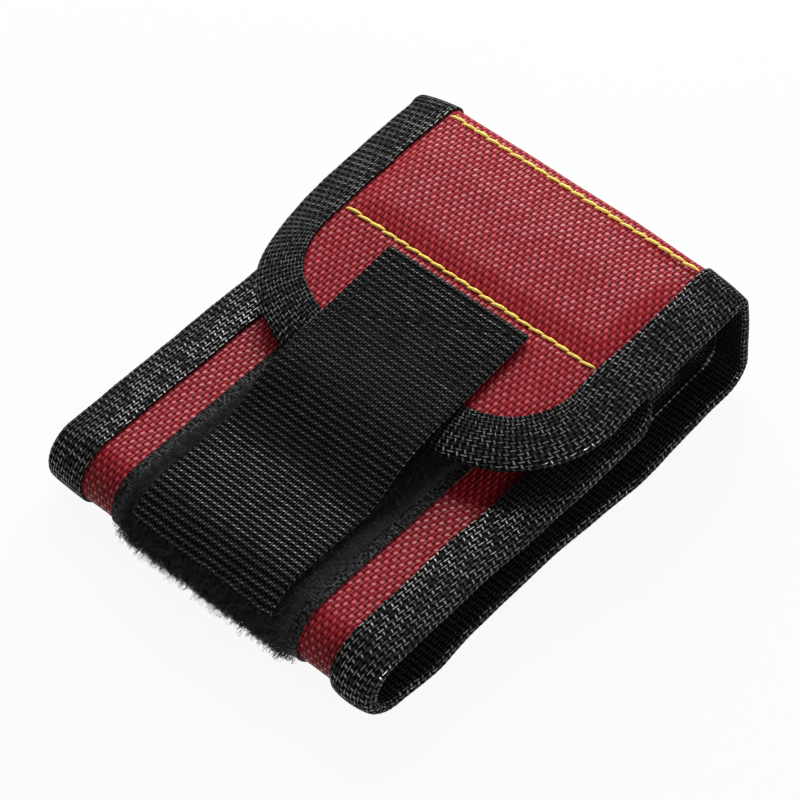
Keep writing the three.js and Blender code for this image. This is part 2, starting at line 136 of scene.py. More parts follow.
class WristbandSizes(bpy.types.PropertyGroup):
    """Sizes of the cut cloth and of its fold"""

    band_width: length("Band width", "Width over the two bound edges", (CAD_HIGH.x - CAD_LOW.x) / MM)
    shell_thickness: length("Shell thickness", "Thickness of the red cloth", 0.6)
    lining_thickness: length("Lining thickness", "Thickness of the black lining", 0.4)
    tape_thickness: length("Edge tape thickness", "Thickness of the edge tape", 0.5)
    tape_leaf: length("Edge tape leaf", "Width of the edge tape on the outer face", 10.5)
    inner_leaf: length("Inner leaf", "Width of the edge tape on the inner face", 8.2)
    tab_length: length("Tab length", "Length of the rounded tab", 33)
    tab_slope: angle("Tab slope", "Climb of the tab towards the flap", 6.8)
    tab_corner: length("Tab corner", "Radius of the corners of the tab", 28)
    flap_length: length("Flap length", "Length of the padded flap", 33.6)
    flap_slope: angle("Flap slope", "Climb of the flap towards the shoulder", 4)
    flap_ease: length("Flap ease", "Radius of the bend from tab to flap", 14)
    shoulder_radius: length("Shoulder radius", "Bend from the flap down to the wall", 5)
    wall_length: length("Wall length", "Height of the straight far wall", 19.1)
    wall_lean: angle("Wall lean", "How far the far wall leans in at its top", 5)
    heel_radius: length("Heel radius", "Bend from the wall to the base", 7)
    base_length: length("Base length", "Length of the flat base", 104.5)
    near_radius: length("Near radius", "Bend from the base up to the loop end", 8)
    under_length: length("Loop end length", "Length of the panel under the tab", 86)
    under_corner: length("Loop end corner", "Radius of the corners of the loop end", 12.5)
    flap_droop: length("Flap droop", "How far the edges of tab and flap hang down", 2.6)
    wall_droop: length("Wall droop", "How far the edges of the far wall turn in", 1)
    loop_droop: length("Loop end droop", "How far the edges of the loop end hang down", 1)
    base_pocket: length("Base pocket", "Length of the pocket on the base", 33)
    pocket_margin: length("Pocket margin", "From a pocket seam to its foam", 4.6)
    wall_margin: length("Wall margin", "From a bend of the wall to its foam", 3)
    foam_width: length("Foam width", "Width of the magnet foam", 64)
    foam_thickness: length("Foam thickness", "Thickness of the magnet foam", 1.8)
    magnet_pitch: length("Magnet pitch", "From one magnet to the next", 12.4)
    magnet_hole: length("Magnet hole", "Diameter of a hole in the foam", 10.6)
    pile_width: length("Loop tape width", "Width of the loop tape", 51)
    pile_height: length("Loop tape height", "Height of the pile over the red cloth", 1.55)
    pile_wrap: angle("Loop tape wrap", "How far the loop tape goes round the near fold", 150)
    strap_width: length("Strap width", "Width of the hook strap", 38)
    strap_thickness: length("Strap thickness", "Thickness of the hook strap", 1.1)
    strap_bend: length("Strap bend", "Radius of the bends down from the tab", 20)
    strap_wrap: angle("Strap wrap", "How far the strap goes round the near fold", 57)
    stitch_length: length("Stitch length", "Length of a yellow stitch", 3.4)
    thread_radius: length("Thread radius", "Radius of the yellow thread", 0.36)


class WristbandFinish(bpy.types.PropertyGroup):
    """Colours of cloth, thread, foam, plating and floor"""

    red_yarn: colour("Red yarn", "Crown of a red yarn", (0.40, 0.024, 0.036))
    # Painted shade: the colour that darkens the hollows between the red yarns.
    red_gap: colour("Red gap", "Shade between red yarns", (0.11, 0.002, 0.004))
    black_yarn: colour("Black yarn", "Crown of a black yarn", (0.010, 0.010, 0.0102))
    # Painted shade: the colour that darkens the hollows between black yarns, the low places of the loop tape
    # and the grooves of the black thread.
    black_gap: colour("Black gap", "Shade between black yarns", (0.0025, 0.0025, 0.0025))
    # The lining yarn is paler than the other black yarns: its own black, lightened as painted light for the
    # shaded inside of the band.
    lining_yarn: colour("Lining yarn", "Crown of a lining yarn", (0.07, 0.07, 0.072))
    pile_fibre: colour("Pile fibre", "Fibres of the loop tape", (0.055, 0.055, 0.0555))
    yellow_thread: colour("Yellow thread", "Thread of the pocket seams", (1.0, 0.80, 0.17))
    # Painted shade: the orange the yellow thread takes in the grooves of its twist.
    yellow_shade: colour("Yellow shade", "Hollows of the yellow thread", (1.0, 0.47, 0.03))
    foam_grey: colour("Foam grey", "Foam that holds the magnets", (0.045, 0.045, 0.050))
    nickel: colour("Nickel", "Plating of the magnets", (0.62, 0.61, 0.59))
    floor_white: colour("Floor", "Plain pale floor", (0.6, 0.6, 0.6))


# The fold of the band


class Fold:
    """A side view of a strip as straight and bent runs, with its outer face on the left."""

    def __init__(self, heading):
        self.pen = (0.0, 0.0, heading)
        self.length = 0.0
        self.runs = []

    def straight(self, distance):
        return self.add(distance, 0.0)

    def bend(self, radius, turn):
        return self.add(radius * abs(turn), turn)

    def add(self, distance, turn):
        self.runs.append((*self.pen, self.length, turn / distance))
        self.length += distance
        self.pen = tuple(float(value) for value in self.at(self.length))
        return self

    def at(self, s):
        runs = np.array(self.runs)
        pick = np.clip(np.searchsorted(runs[:, 3], s, side="right") - 1, 0, len(runs) - 1)
        y, z, heading, start, curve = np.moveaxis(runs[pick], -1, 0)
        gone = np.asarray(s, float) - start
        turned = heading - curve * gone
        flat = np.abs(curve) < 1e-9
        safe = np.where(flat, 1.0, curve)
        dy = np.where(flat, np.cos(turned) * gone, (np.sin(heading) - np.sin(turned)) / safe)
        dz = np.where(flat, np.sin(turned) * gone, (np.cos(turned) - np.cos(heading)) / safe)
        return y + dy, z + dz, turned

    def place(self, x, s, height):
        """Points of the folded cloth, from their places in the flat."""
        y, z, heading = self.at(s)
        x, height = np.broadcast_to(x, y.shape), np.broadcast_to(height, y.shape)
        return np.stack([x, y - np.sin(heading) * height, z + np.cos(heading) * height], -1)

    def up(self, s):
        """The way out of the outer face."""
        heading = float(self.at(s)[2])
        return (0, -math.sin(heading), math.cos(heading))

    def move(self, y, z):
        self.runs = [(run[0] + y, run[1] + z, *run[2:]) for run in self.runs]


class Pattern:
    """The folded band, the strap on it and the marks along them."""

    def __init__(self, sizes):
        self.sizes = sizes
        self.half = sizes.band_width / 2
        self.inset = sizes.tape_thickness + GAP
        self.edge_top = sizes.tape_thickness + GAP
        self.lining_top = -sizes.shell_thickness - GAP
        self.lining_low = self.lining_top - sizes.lining_thickness
        self.edge_low = self.lining_low - GAP - sizes.tape_thickness

        ease = sizes.flap_ease * (sizes.tab_slope - sizes.flap_slope)
        shoulder_turn = math.pi / 2 + sizes.flap_slope - sizes.wall_lean
        heel_turn = math.pi / 2 + sizes.wall_lean
        self.flap = sizes.tab_length
        self.shoulder = self.flap + sizes.flap_length
        self.wall = self.shoulder + sizes.shoulder_radius * shoulder_turn
        self.heel = self.wall + sizes.wall_length
        self.base = self.heel + sizes.heel_radius * heel_turn
        self.near = self.base + sizes.base_length
        self.under = self.near + sizes.near_radius * math.pi
        self.end = self.under + sizes.under_length
        self.flap_cut = (self.flap + self.shoulder) / 2
        self.wall_cut = (self.wall + self.heel) / 2

        fold = Fold(sizes.tab_slope).straight(sizes.tab_length - ease)
        fold.bend(sizes.flap_ease, sizes.tab_slope - sizes.flap_slope).straight(sizes.flap_length)
        fold.bend(sizes.shoulder_radius, shoulder_turn).straight(sizes.wall_length)
        fold.bend(sizes.heel_radius, heel_turn).straight(sizes.base_length)
        fold.bend(sizes.near_radius, math.pi).straight(sizes.under_length)
        farthest = fold.at(self.heel + sizes.heel_radius * sizes.wall_lean)[0] + self.edge_top
        nearest = fold.at(self.near)[0] - sizes.near_radius - sizes.pile_height
        fold.move(-(farthest + nearest) / 2, self.edge_top - fold.at(self.base)[1])
        self.fold = fold

        hook_gap, overhang = 0.25 * MM, 0.8 * MM
        clear, tuck = 1.2 * MM, 0.4 * MM  # to the bend of the tab, and over its edge tape
        sewn = sizes.tab_length - ease - clear
        top = fold.at(self.under)[1] + sizes.pile_height + hook_gap
        tip = fold.place(0, np.array(-overhang), self.edge_top + GAP)
        slope, radius = sizes.tab_slope, sizes.strap_bend
        climb = math.acos((1 + math.cos(slope) - (tip[2] - top) / radius) / 2)
        reach = radius * (2 * math.sin(climb) - math.sin(slope))
        strap = Fold(sizes.strap_wrap)
        strap.bend(sizes.near_radius + sizes.pile_height + hook_gap, sizes.strap_wrap)
        strap.straight(tip[1] - reach - fold.at(self.under)[0])
        strap.bend(radius, -climb).bend(radius, climb - slope).straight(overhang + sewn)
        there = strap.at(strap.length - overhang - sewn)
        strap.move(tip[1] - there[0], tip[2] - there[1])
        self.strap = strap
        self.strap_foot = strap.length - sewn + sizes.tape_leaf - tuck

        self.seams = {
            "1": self.shoulder + 0.8 * MM,
            "2": self.flap + 1 * MM,
            "3": self.base + 1 * MM,
            "4": self.base + sizes.base_pocket,
        }
        self.seam_half = self.half - sizes.tape_leaf - 1 * MM
        margin = sizes.pocket_margin
        self.pockets = {
            "flap": (self.flap + margin, self.shoulder - margin),
            "wall": (self.wall + sizes.wall_margin, self.heel - sizes.wall_margin),
            "base": (self.base + margin, self.base + sizes.base_pocket - margin),
        }

    def pull(self, end, corner, inset):
        """Half width of a panel at each distance, where its end has rounded corners."""
        side = self.half - inset
        radius = corner - inset

        def half(s):
            drop = np.maximum(0, radius - np.abs(np.asarray(s) - end) + inset)
            return side - radius + np.sqrt(np.maximum(0, radius**2 - np.minimum(drop, radius) ** 2))

        return half

    def hang(self, x, s, inset):
        """How far the cloth hangs down at an inset from its bound edge."""
        sizes = self.sizes
        share = lambda low, high: np.clip((s - low) / (high - low), 0, 1)
        full = sizes.flap_droop + (sizes.wall_droop - sizes.flap_droop) * share(self.shoulder, self.wall)
        full = full - sizes.wall_droop * share(self.heel, self.base)
        full = full + sizes.loop_droop * share(self.near, self.under)
        full = full * (1 + 0.35 * (1 - ramp(x, -20 * MM, 20 * MM)))
        full = full + slack(s, TAB_SLACK) * (1 - ramp(x, -45 * MM, -20 * MM))
        corner = slack(s - self.shoulder, CORNER_SLACK) * ramp(x, 10 * MM, 45 * MM)
        sag = slack(s - self.end, LOOP_SLACK) * np.clip((x - 20 * MM) / (25 * MM), 0, 1.1) ** 1.2
        return full * np.clip(1 - inset / sizes.tape_leaf, 0, 1) ** 1.2 + corner + sag

    def bow(self, x, s):
        """How far the right edge of the base strays outwards from a straight line."""
        return (x > 0) * sum(slack(s - self.base, place) for place in BASE_SLACK)

    def inset_of(self, x, s):
        """Distance of each place in the flat from the bound edge round it."""
        inset = self.half - np.abs(x)
        for end, corner in ((0.0, self.sizes.tab_corner), (self.end, self.sizes.under_corner)):
            inward = np.abs(s - end)
            aside, short = np.abs(x) - self.half + corner, corner - inward
            rounded = (aside > 0) & (short > 0)
            inset = np.where(rounded, corner - np.hypot(aside, short), np.minimum(inset, inward))
        return inset

    def blends(self, joint, piece):
        """Bakes the place of a piece into its mesh; the two bodies of one fold of the band and the ends round
        its pin are passed on but not used.
        """
        sizes = self.sizes
        centre = lambda s, y, z: Vector((0, *[float(v) for v in self.fold.at(s)[:2]])) + Vector((0, y, z))
        pin = PINS[joint]
        middle, bodies, first, last = {
            "tab_fold": (pin, ("flap", "tab"), (0, 2, 0), (0, -1.6, 0)),
            "flap_fold": (
                centre(self.wall, -sizes.shoulder_radius, 0), ("wall", "flap"), (0, 0.8, -0.6), (0, -5.2, 3.9)
            ),
            "wall_fold": (pin, ("band", "wall"), (0, 0, -3), (0, 0, 4)),
            "loop_end_fold": (
                centre(self.near, 0, sizes.near_radius), ("band", "under"), (0, -2.4, -1.8), (0, 7.2, 5.4)
            ),
            "strap_peel": (pin, ("tab", "strap"), (0, 1, 0), (0, -4, 0)),
        }[joint]
        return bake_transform(piece, *bodies, start=middle + Vector(first) * MM, end=middle + Vector(last) * MM)


def drift(a, b, seed, size):
    """Slow uneven waves over a surface, from minus 1 to 1, about one size long."""
    rng = np.random.default_rng(seed)
    total = np.zeros(np.broadcast(a, b).shape)
    for _ in range(7):
        turn, phase = rng.uniform(0, 2 * math.pi, 2)
        pace = 2 * math.pi / (size * rng.uniform(0.7, 1.6))
        total += np.sin((np.cos(turn) * a + np.sin(turn) * b) * pace + phase)
    return total / 4


def slack(distance, place):
    """Depth at a distance, where the place is the middle, the reach and the greatest depth."""
    middle, reach, depth = place
    return depth * np.exp(-(((distance - middle) / reach) ** 2))


def ramp(value, low, high):
    t = np.clip((value - low) / (high - low), 0, 1)
    return t * t * (3 - 2 * t)


# Modelling


def deselect():
    if bpy.context.object and bpy.context.object.mode != "OBJECT":
        bpy.ops.object.mode_set(mode="OBJECT")
    bpy.ops.object.select_all(action="DESELECT")


def pick(piece):
    """Leaves one piece selected and active."""
    deselect()
    piece.select_set(True)
    bpy.context.view_layer.objects.active = piece


def join(pieces):
    """Makes one piece of many."""
    pick(pieces[0])
    for piece in pieces[1:]:
        piece.select_set(True)
    bpy.ops.object.join()


def coat(piece, material):
    piece.data.materials.clear()
    piece.data.materials.append(material)


def flat_cut(name, across, along):
    """A flat grid of cloth, with the column and the row of each of its points."""
    deselect()
    bpy.ops.mesh.primitive_grid_add(x_subdivisions=across - 1, y_subdivisions=along - 1, size=2)
    piece = bpy.context.object
    piece.name = piece.data.name = name
    points = np.empty(len(piece.data.vertices) * 3)
    piece.data.vertices.foreach_get("co", points)
    points = points.reshape(-1, 3)
    column = np.rint((points[:, 0] + 1) / 2 * (across - 1)).astype(int)
    row = np.rint((points[:, 1] + 1) / 2 * (along - 1)).astype(int)
    if column.max() != across - 1 or row.max() != along - 1:
        raise RuntimeError(f"{name} was not cut to {across} by {along}")
    return piece, column, row


def lay(piece, places, cut):
    """Carries a flat grid to its folded places and writes its cut, in millimetres, as its UV map."""
    mesh = piece.data
    mesh.vertices.foreach_set("co", np.ascontiguousarray(places, float).ravel())
    corners = np.empty(len(mesh.loops), int)
    mesh.loops.foreach_get("vertex_index", corners)
    mesh.uv_layers.active.data.foreach_set("uv", np.asarray(cut, float)[corners].ravel() / MM)
    mesh.update()


def apply(piece, kind, **settings):
    pick(piece)
    modifier = piece.modifiers.new(kind.title(), kind)
    for key, value in settings.items():
        setattr(modifier, key, value)
    bpy.ops.object.modifier_apply(modifier=modifier.name)


def thicken(piece, thickness, material, crease=50):
    """Gives cloth its thickness on the side away from its face, and its finish."""
    apply(piece, "SOLIDIFY", thickness=thickness, offset=-1, use_even_offset=True)
    bpy.ops.object.shade_smooth_by_angle(angle=crease * DEG)
    coat(piece, material)


def strands(name, lines, radius, material, sides=3):
    """Many fine fibres as one mesh: lines holds the points of each, radius its thickness at each."""
    count, steps = lines.shape[:2]
    way = np.gradient(lines, axis=1)
    way /= np.linalg.norm(way, axis=2, keepdims=True) + 1e-12
    helper = np.where(np.abs(way[..., :1]) < 0.8, [1.0, 0, 0], [0, 1.0, 0])
    across = np.cross(way, helper)
    across /= np.linalg.norm(across, axis=2, keepdims=True) + 1e-12
    over = np.cross(way, across)
    turn = np.arange(sides) * 2 * math.pi / sides
    ring = across[:, :, None] * np.cos(turn)[:, None] + over[:, :, None] * np.sin(turn)[:, None]
    points = lines[:, :, None] + ring * np.broadcast_to(radius, (count, steps))[:, :, None, None]
    first = np.arange(count)[:, None, None] * steps * sides + np.arange(steps - 1)[None, :, None] * sides
    here, there = np.arange(sides), (np.arange(sides) + 1) % sides
    faces = np.stack([first + here, first + there, first + there + sides, first + here + sides], -1)
    faces = [tuple(face) for face in faces.reshape(-1, 4).tolist()]
    caps = np.arange(count)[:, None] * steps * sides
    faces += [tuple(cap) for cap in (caps + here[::-1]).tolist()]
    faces += [tuple(cap) for cap in (caps + (steps - 1) * sides + here).tolist()]
    mesh = bpy.data.meshes.new(name)
    mesh.from_pydata(points.reshape(-1, 3), [], faces)
    piece = bpy.data.objects.new(name, mesh)
    bpy.context.scene.collection.objects.link(piece)
    pick(piece)
    bpy.ops.object.shade_smooth()
    coat(piece, material)
    return piece


def dress(piece, nodes=(), body=None):
    """Hides the solids a piece stands for and sets what it rides on."""
    if nodes:
        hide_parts(*nodes)
    if body:
        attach(piece, body)


# Finishes


class Value:
    """A number or colour in a finish, so that finishes are written as sums."""

    def __init__(self, finish, socket):
        self.finish, self.socket = finish, socket

    def math(self, operation, *others):
        sockets = dict(enumerate((self, *others)))
        return self.finish.add("ShaderNodeMath", {"operation": operation}, sockets)

    def __add__(self, other):
        return self.math("ADD", other)

    def __sub__(self, other):
        return self.math("SUBTRACT", other)

    def __rsub__(self, other):
        return self.finish.add("ShaderNodeMath", {"operation": "SUBTRACT"}, {0: other, 1: self})

    def __mul__(self, other):
        return self.math("MULTIPLY", other)

    def __truediv__(self, other):
        return self.math("DIVIDE", other)

    def __pow__(self, other):
        return self.math("POWER", other)

    __radd__, __rmul__ = __add__, __mul__
    floor, fract = partialmethod(math, "FLOOR"), partialmethod(math, "FRACT")
    sin, abs = partialmethod(math, "SINE"), partialmethod(math, "ABSOLUTE")
    max, min = partialmethod(math, "MAXIMUM"), partialmethod(math, "MINIMUM")

    def between(self, low, high):
        """0 below low, 1 above high and smooth between them."""
        settings = {"interpolation_type": "SMOOTHSTEP", "clamp": True}
        return self.finish.add("ShaderNodeMapRange", settings, {0: self, 1: low, 2: high})


class Finish:
    """A material, or the world, under construction."""

    def __init__(self, name, kind=bpy.data.materials):
        self.owner = kind.new(name)
        self.owner.use_nodes = True
        self.tree = self.owner.node_tree
        self.tree.nodes.clear()

    def add(self, kind, settings, sockets, output=0):
        """A new node with its settings, then the values or links of its sockets."""
        node = self.tree.nodes.new(kind)
        for key, value in settings.items():
            setattr(node, key, value)
        for key, value in sockets.items():
            if isinstance(value, Value):
                self.tree.links.new(value.socket, node.inputs[key])
            else:
                node.inputs[key].default_value = value
        return Value(self, node.outputs[output])

    def cut(self):
        """Places across and along the flat cut, in millimetres."""
        flat = self.add("ShaderNodeUVMap", {}, {})
        apart = {0: flat}
        u = self.add("ShaderNodeSeparateXYZ", {}, apart, 0)
        return u, self.add("ShaderNodeSeparateXYZ", {}, apart, 1)

    def here(self):
        """Place in the object, in metres."""
        return self.add("ShaderNodeTexCoord", {}, {}, 3)

    def point(self, x, y, z=0.0):
        return self.add("ShaderNodeCombineXYZ", {}, {0: x, 1: y, 2: z})

    def noise(self, place, scale, detail=2.0, roughness=0.5):
        sockets = {"Vector": place, "Scale": scale, "Detail": detail, "Roughness": roughness}
        return self.add("ShaderNodeTexNoise", {}, sockets)

    def speckle(self, place):
        return self.add("ShaderNodeTexWhiteNoise", {"noise_dimensions": "2D"}, {"Vector": place})

    def mix(self, share, first, second):
        sides = [c if isinstance(c, Value) else (*c, 1.0) for c in (first, second)]
        sockets = {0: share, 6: sides[0], 7: sides[1]}
        return self.add("ShaderNodeMix", {"data_type": "RGBA"}, sockets, 2)

    def shades(self, share, colour, dark):
        """A colour, and a darker shade of it where the share is low."""
        return self.mix(share, [part * dark for part in colour], colour)

    def bump(self, height, distance):
        return self.add("ShaderNodeBump", {}, {"Strength": 1.0, "Distance": distance, "Height": height})

    def surface(self, **sockets):
        names = {key.replace("_", " "): value for key, value in sockets.items()}
        return self.add("ShaderNodeBsdfPrincipled", {}, names)

    def seen(self):
        """1 where the camera, a mirror or glass looks, and 0 where light falls."""
        rays = ("Is Camera Ray", "Is Glossy Ray", "Is Transmission Ray")
        camera, mirror, glass = (self.add("ShaderNodeLightPath", {}, {}, ray) for ray in rays)
        return camera.max(mirror).max(glass)

    def done(self, shader, kind="Material"):
        output = self.tree.nodes.new(f"ShaderNodeOutput{kind}")
        self.tree.links.new(shader.socket, output.inputs[0])
        return self.owner


def plain_weave(finish, u, v, pitch, wide, uneven, slant, lean, shift, fine, reach):
    """A plain weave of round yarns, with the yarns along v (warp) and across it (weft).

    Gives the height of the cloth, where the weft lies on top, the line along the crown of each yarn,
    a number of its own for every crossing and a wave of painted light and shade that joins the weft's
    floats in slanted chains.
    """
    place = finish.point(u, v)
    u = u / pitch[0] + (finish.noise(place, 0.13, 3.0) - 0.5) * uneven
    v = v / pitch[1] + (finish.noise(place, 0.11, 3.0) - 0.5) * uneven
    column, row = u.floor(), v.floor()
    across_u, across_v = (u - column) * 2.0 - 1.0, (v - row) * 2.0 - 1.0
    side_u, side_v = (across_u + across_v * slant[0]) / wide[0], (across_v + across_u * slant[1]) / wide[1]
    warp_up, weft_up = ((v + column) * math.pi).sin(), ((u + row) * -math.pi).sin()
    round_u, round_v = (1.0 - side_u * side_u).max(0.0), (1.0 - side_v * side_v).max(0.0)
    warp = (warp_up * 0.5 + 0.5) * round_u ** 0.5
    weft = (weft_up * 0.5 + 0.5) * round_v ** 0.5
    cross = weft.math("GREATER_THAN", warp)
    lean_u = (across_u + across_v * lean[0] + shift[0]) / wide[0]
    lean_v = (across_v + across_u * lean[1] + shift[1]) / wide[1]
    line_u = (1.0 - lean_u * lean_u).max(0.0) ** fine[0] * warp_up.max(0.0) ** reach[0]
    line_v = (1.0 - lean_v * lean_v).max(0.0) ** fine[1] * weft_up.max(0.0) ** reach[1]
    own = finish.speckle(finish.point(column, row))
    # Painted light and shade: a slanted wave that lightens and darkens the crossings in chains.
    painted_chain = ((u + v + 0.5) * math.pi).sin()
    return warp.max(weft), cross, line_u, line_v, own, painted_chain


def woven(
    name, pitch, wide, yarn, gap, crown_shading, gloss, fine, reach, relief=0.25 * MM, sheen=1.5, uneven=0.3,
    slant=(0.2, -0.2), lean=(0.2, -0.2), shift=(0.0, 0.0), specular=0.08, rough=0.5, mixed=1.0,
    shade_holes=(0.1, 0.7), painted_chain_share=0.0, selvedge=0.0,
):
    """Cloth of round yarns: painted shade in the holes and on the sides of the yarns, painted light
    and shade between warp and weft crowns and in slanted chains, uneven yarns and a glossy line
    along each crown.

    Pairs are for the warp and the weft. Pitch is in millimetres and sheen is the index of the gloss.
    """
    finish = Finish(name)
    u, v = finish.cut()
    height, cross, line_u, line_v, own, painted_chain = plain_weave(
        finish, u, v, pitch, wide, uneven, slant, lean, shift, fine, reach
    )
    fuzz = finish.noise(finish.point(u * 4.0, v * 4.0), 1.6, 3.0, 0.7)
    # Painted shade: the colour darkens down the sides of each yarn into its gaps; the warp and weft crowns get
    # their own painted brightness, and a slanted wave adds painted light and shade in chains.
    tone = height.between(0.2, 1.0) * (cross * (crown_shading[1] - crown_shading[0]) + crown_shading[0])
    tone = tone * (1.0 + painted_chain * painted_chain_share)
    tone = (tone * (own * 0.3 + 0.85) + (fuzz - 0.5) * 0.25 * height).max(0.0).min(1.0)
    patch = finish.noise(finish.point(u, v, 5.0), 0.22, 3.0).between(0.3, 0.7)
    shine = (line_u * (1.0 - cross) * gloss[0] + line_v * cross * gloss[1]) * ((own - 0.5) * mixed + 0.7)
    shine = shine * (fuzz * 1.6 + 0.2) * (1.0 + (patch - 0.6) * 0.7 * mixed)
    if selvedge:
        shine = shine + (1.0 - u.between(0.7, 0.95)) * fuzz * selvedge
    normal = finish.bump(height + (fuzz - 0.5) * 0.1, relief)
    cloth = finish.surface(
        Base_Color=finish.mix(tone, gap, yarn), Roughness=rough + (fuzz - 0.5) * 0.3,
        Specular_IOR_Level=specular, Coat_Weight=shine.min(1.0), Coat_Roughness=0.3, Coat_IOR=sheen,
        Normal=normal,
    )
    # Painted shade: a dark, matt surface with no gloss is mixed in where the cloth is low, for the shade in its
    # holes.
    painted_hollow = finish.surface(Base_Color=(*gap, 1.0), Roughness=1.0, Specular_IOR_Level=0.0)
    deep = 1.0 - height.between(*shade_holes)
    return finish.done(finish.add("ShaderNodeMixShader", {}, {0: deep, 1: cloth, 2: painted_hollow}))


def red_cloth(colours):
    return woven(
        "red_cloth", (0.92, 1.44), (1.15, 1.25), colours.red_yarn, colours.red_gap, (0.75, 1.0),
        gloss=(1.2, 1.7), fine=(45.0, 9.0), reach=(0.4, 0.6), relief=0.4 * MM, uneven=0.35,
        slant=(0.5, 0.6), lean=(-0.1, -0.4), shift=(0.3, -0.1), specular=0.04, mixed=0.6,
        shade_holes=(0.0, 0.5), painted_chain_share=0.6,
    )


def edge_cloth(colours):
    return woven(
        "edge_tape_cloth", (0.78, 1.53), (0.8, 0.8), colours.black_yarn, colours.black_gap, (1.0, 1.0),
        gloss=(1.2, 1.5), fine=(30.0, 35.0), reach=(0.3, 0.3), sheen=2.7, uneven=0.45,
        specular=0.07, mixed=1.6, shade_holes=(0.25, 0.75), selvedge=1.6,
    )


def lining_cloth(colours):
    return woven(
        "lining_cloth", (0.80, 0.80), (0.75, 0.75), colours.lining_yarn, colours.black_gap, (0.6, 1.0),
        gloss=(0.3, 1.4), fine=(4.0, 3.0), reach=(0.5, 1.0), sheen=2.0, specular=0.3, rough=0.35,
    )


def strap_cloth(colours):
    return woven(
        "strap_webbing", (0.62, 1.53), (0.8, 0.7), colours.black_yarn, colours.black_gap, (0.6, 1.0),
        gloss=(0.4, 1.7), fine=(45.0, 75.0), reach=(0.2, 0.35), sheen=2.2, uneven=0.4,
        slant=(0.05, -0.05), mixed=0.8, shade_holes=(0.3, 0.9),
    )


def pile_ground(colours):
    """Knitted ground of the loop tape, with ribs along its selvedges and painted shade in its low places."""
    finish = Finish("loop_tape_ground")
    u, v = finish.cut()
    ribs = ((v / 0.62).fract() * math.pi).sin()
    fuzz = finish.noise(finish.point(u * 3.0, v * 3.0), 1.3, 4.0, 0.75)
    selvedge = u.abs().between(22.6, 23.2)
    height = ribs * selvedge * 0.15 + fuzz * (1.2 - selvedge * 0.3)
    grain = finish.noise(finish.point(u, v, 2.0), 1.5, 2.0, 0.6)
    # Painted shade over a random grain: the ground darkens where its bumps are low and between the selvedge
    # ribs.
    tone = (grain - 0.42) * 4.0 * (ribs * 0.6 + 0.4) * selvedge + height * 0.8 * (1.0 - selvedge)
    shade = finish.mix(tone.max(0.0).min(1.0), colours.black_gap, colours.pile_fibre)
    cloth = finish.surface(
        Base_Color=shade, Roughness=0.75 - selvedge * 0.25, Specular_IOR_Level=0.03,
        Coat_Weight=(grain - 0.45).max(0.0) * ribs ** 2.0 * selvedge * 2.5, Coat_Roughness=0.4,
        Normal=finish.bump(height, 0.4 * MM),
    )
    return finish.done(cloth)


def pile_fibre(colours):
    finish = Finish("loop_pile_fibre")
    tone = finish.noise(finish.here(), 900.0, 2.0)
    shade = finish.shades(tone.between(0.3, 0.7), colours.pile_fibre, 0.5)
    rough = 0.6 + tone * 0.3
    return finish.done(finish.surface(Base_Color=shade, Roughness=rough, Specular_IOR_Level=0.06))


def thread(name, bright, shade, rough, specular):
    """Twisted sewing thread: UV runs along the stitch and round it.
    Its colour goes to a painted shade in the grooves of the twist.
    """
    finish = Finish(name)
    along, around = finish.cut()
    ply = ((along * 1.15 + around * 2.0) * math.pi).sin().abs()
    hairs = finish.noise(finish.point(along * 3.0 + around * 5.0, around * 9.0), 3.0, 2.0)
    # Painted shade: the tone drops in the grooves of the ply, with random hairs.
    tone = (ply * 0.6 + hairs * 0.4 + 0.25).min(1.0)
    colour = finish.mix(tone, shade, bright)
    normal = finish.bump(ply + hairs * 0.3, 0.03 * MM)
    return finish.done(
        finish.surface(
            Base_Color=colour, Roughness=rough + (1.0 - ply) * 0.2, Specular_IOR_Level=specular,
            Normal=normal, Sheen_Weight=specular * 2.0, Sheen_Roughness=0.5, Sheen_Tint=(*bright, 1.0),
        )
    )


def foam(colours):
    finish = Finish("magnet_foam")
    cells = finish.add("ShaderNodeTexVoronoi", {}, {"Vector": finish.here(), "Scale": 2600.0})
    # Painted shade: the foam darkens in the pits of its cells, where its bump is low.
    shade = finish.shades(cells.between(0.1, 0.7), colours.foam_grey, 0.4)
    return finish.done(
        finish.surface(Base_Color=shade, Roughness=0.95 - cells * 0.1, Normal=finish.bump(cells, 0.15 * MM))
    )


def nickel(colours):
    finish = Finish("nickel_plate")
    scuffs = finish.noise(finish.here(), 700.0, 4.0, 0.65)
    shade = finish.shades(scuffs, colours.nickel, 0.8)
    rough = 0.18 + scuffs.between(0.4, 0.75) * 0.2
    return finish.done(
        finish.surface(Base_Color=shade, Metallic=1.0, Roughness=rough, Normal=finish.bump(scuffs, 0.02 * MM))
    )


# The pieces

CLOTHS = {}


def cloth(key, make):
    """One finish for all the pieces that share it."""
    if key not in CLOTHS:
        CLOTHS[key] = make(bpy.context.scene.wristband_finish)
    return CLOTHS[key]


def spread(low, high, step):
    return np.linspace(low, high, max(2, round((high - low) / step) + 1))


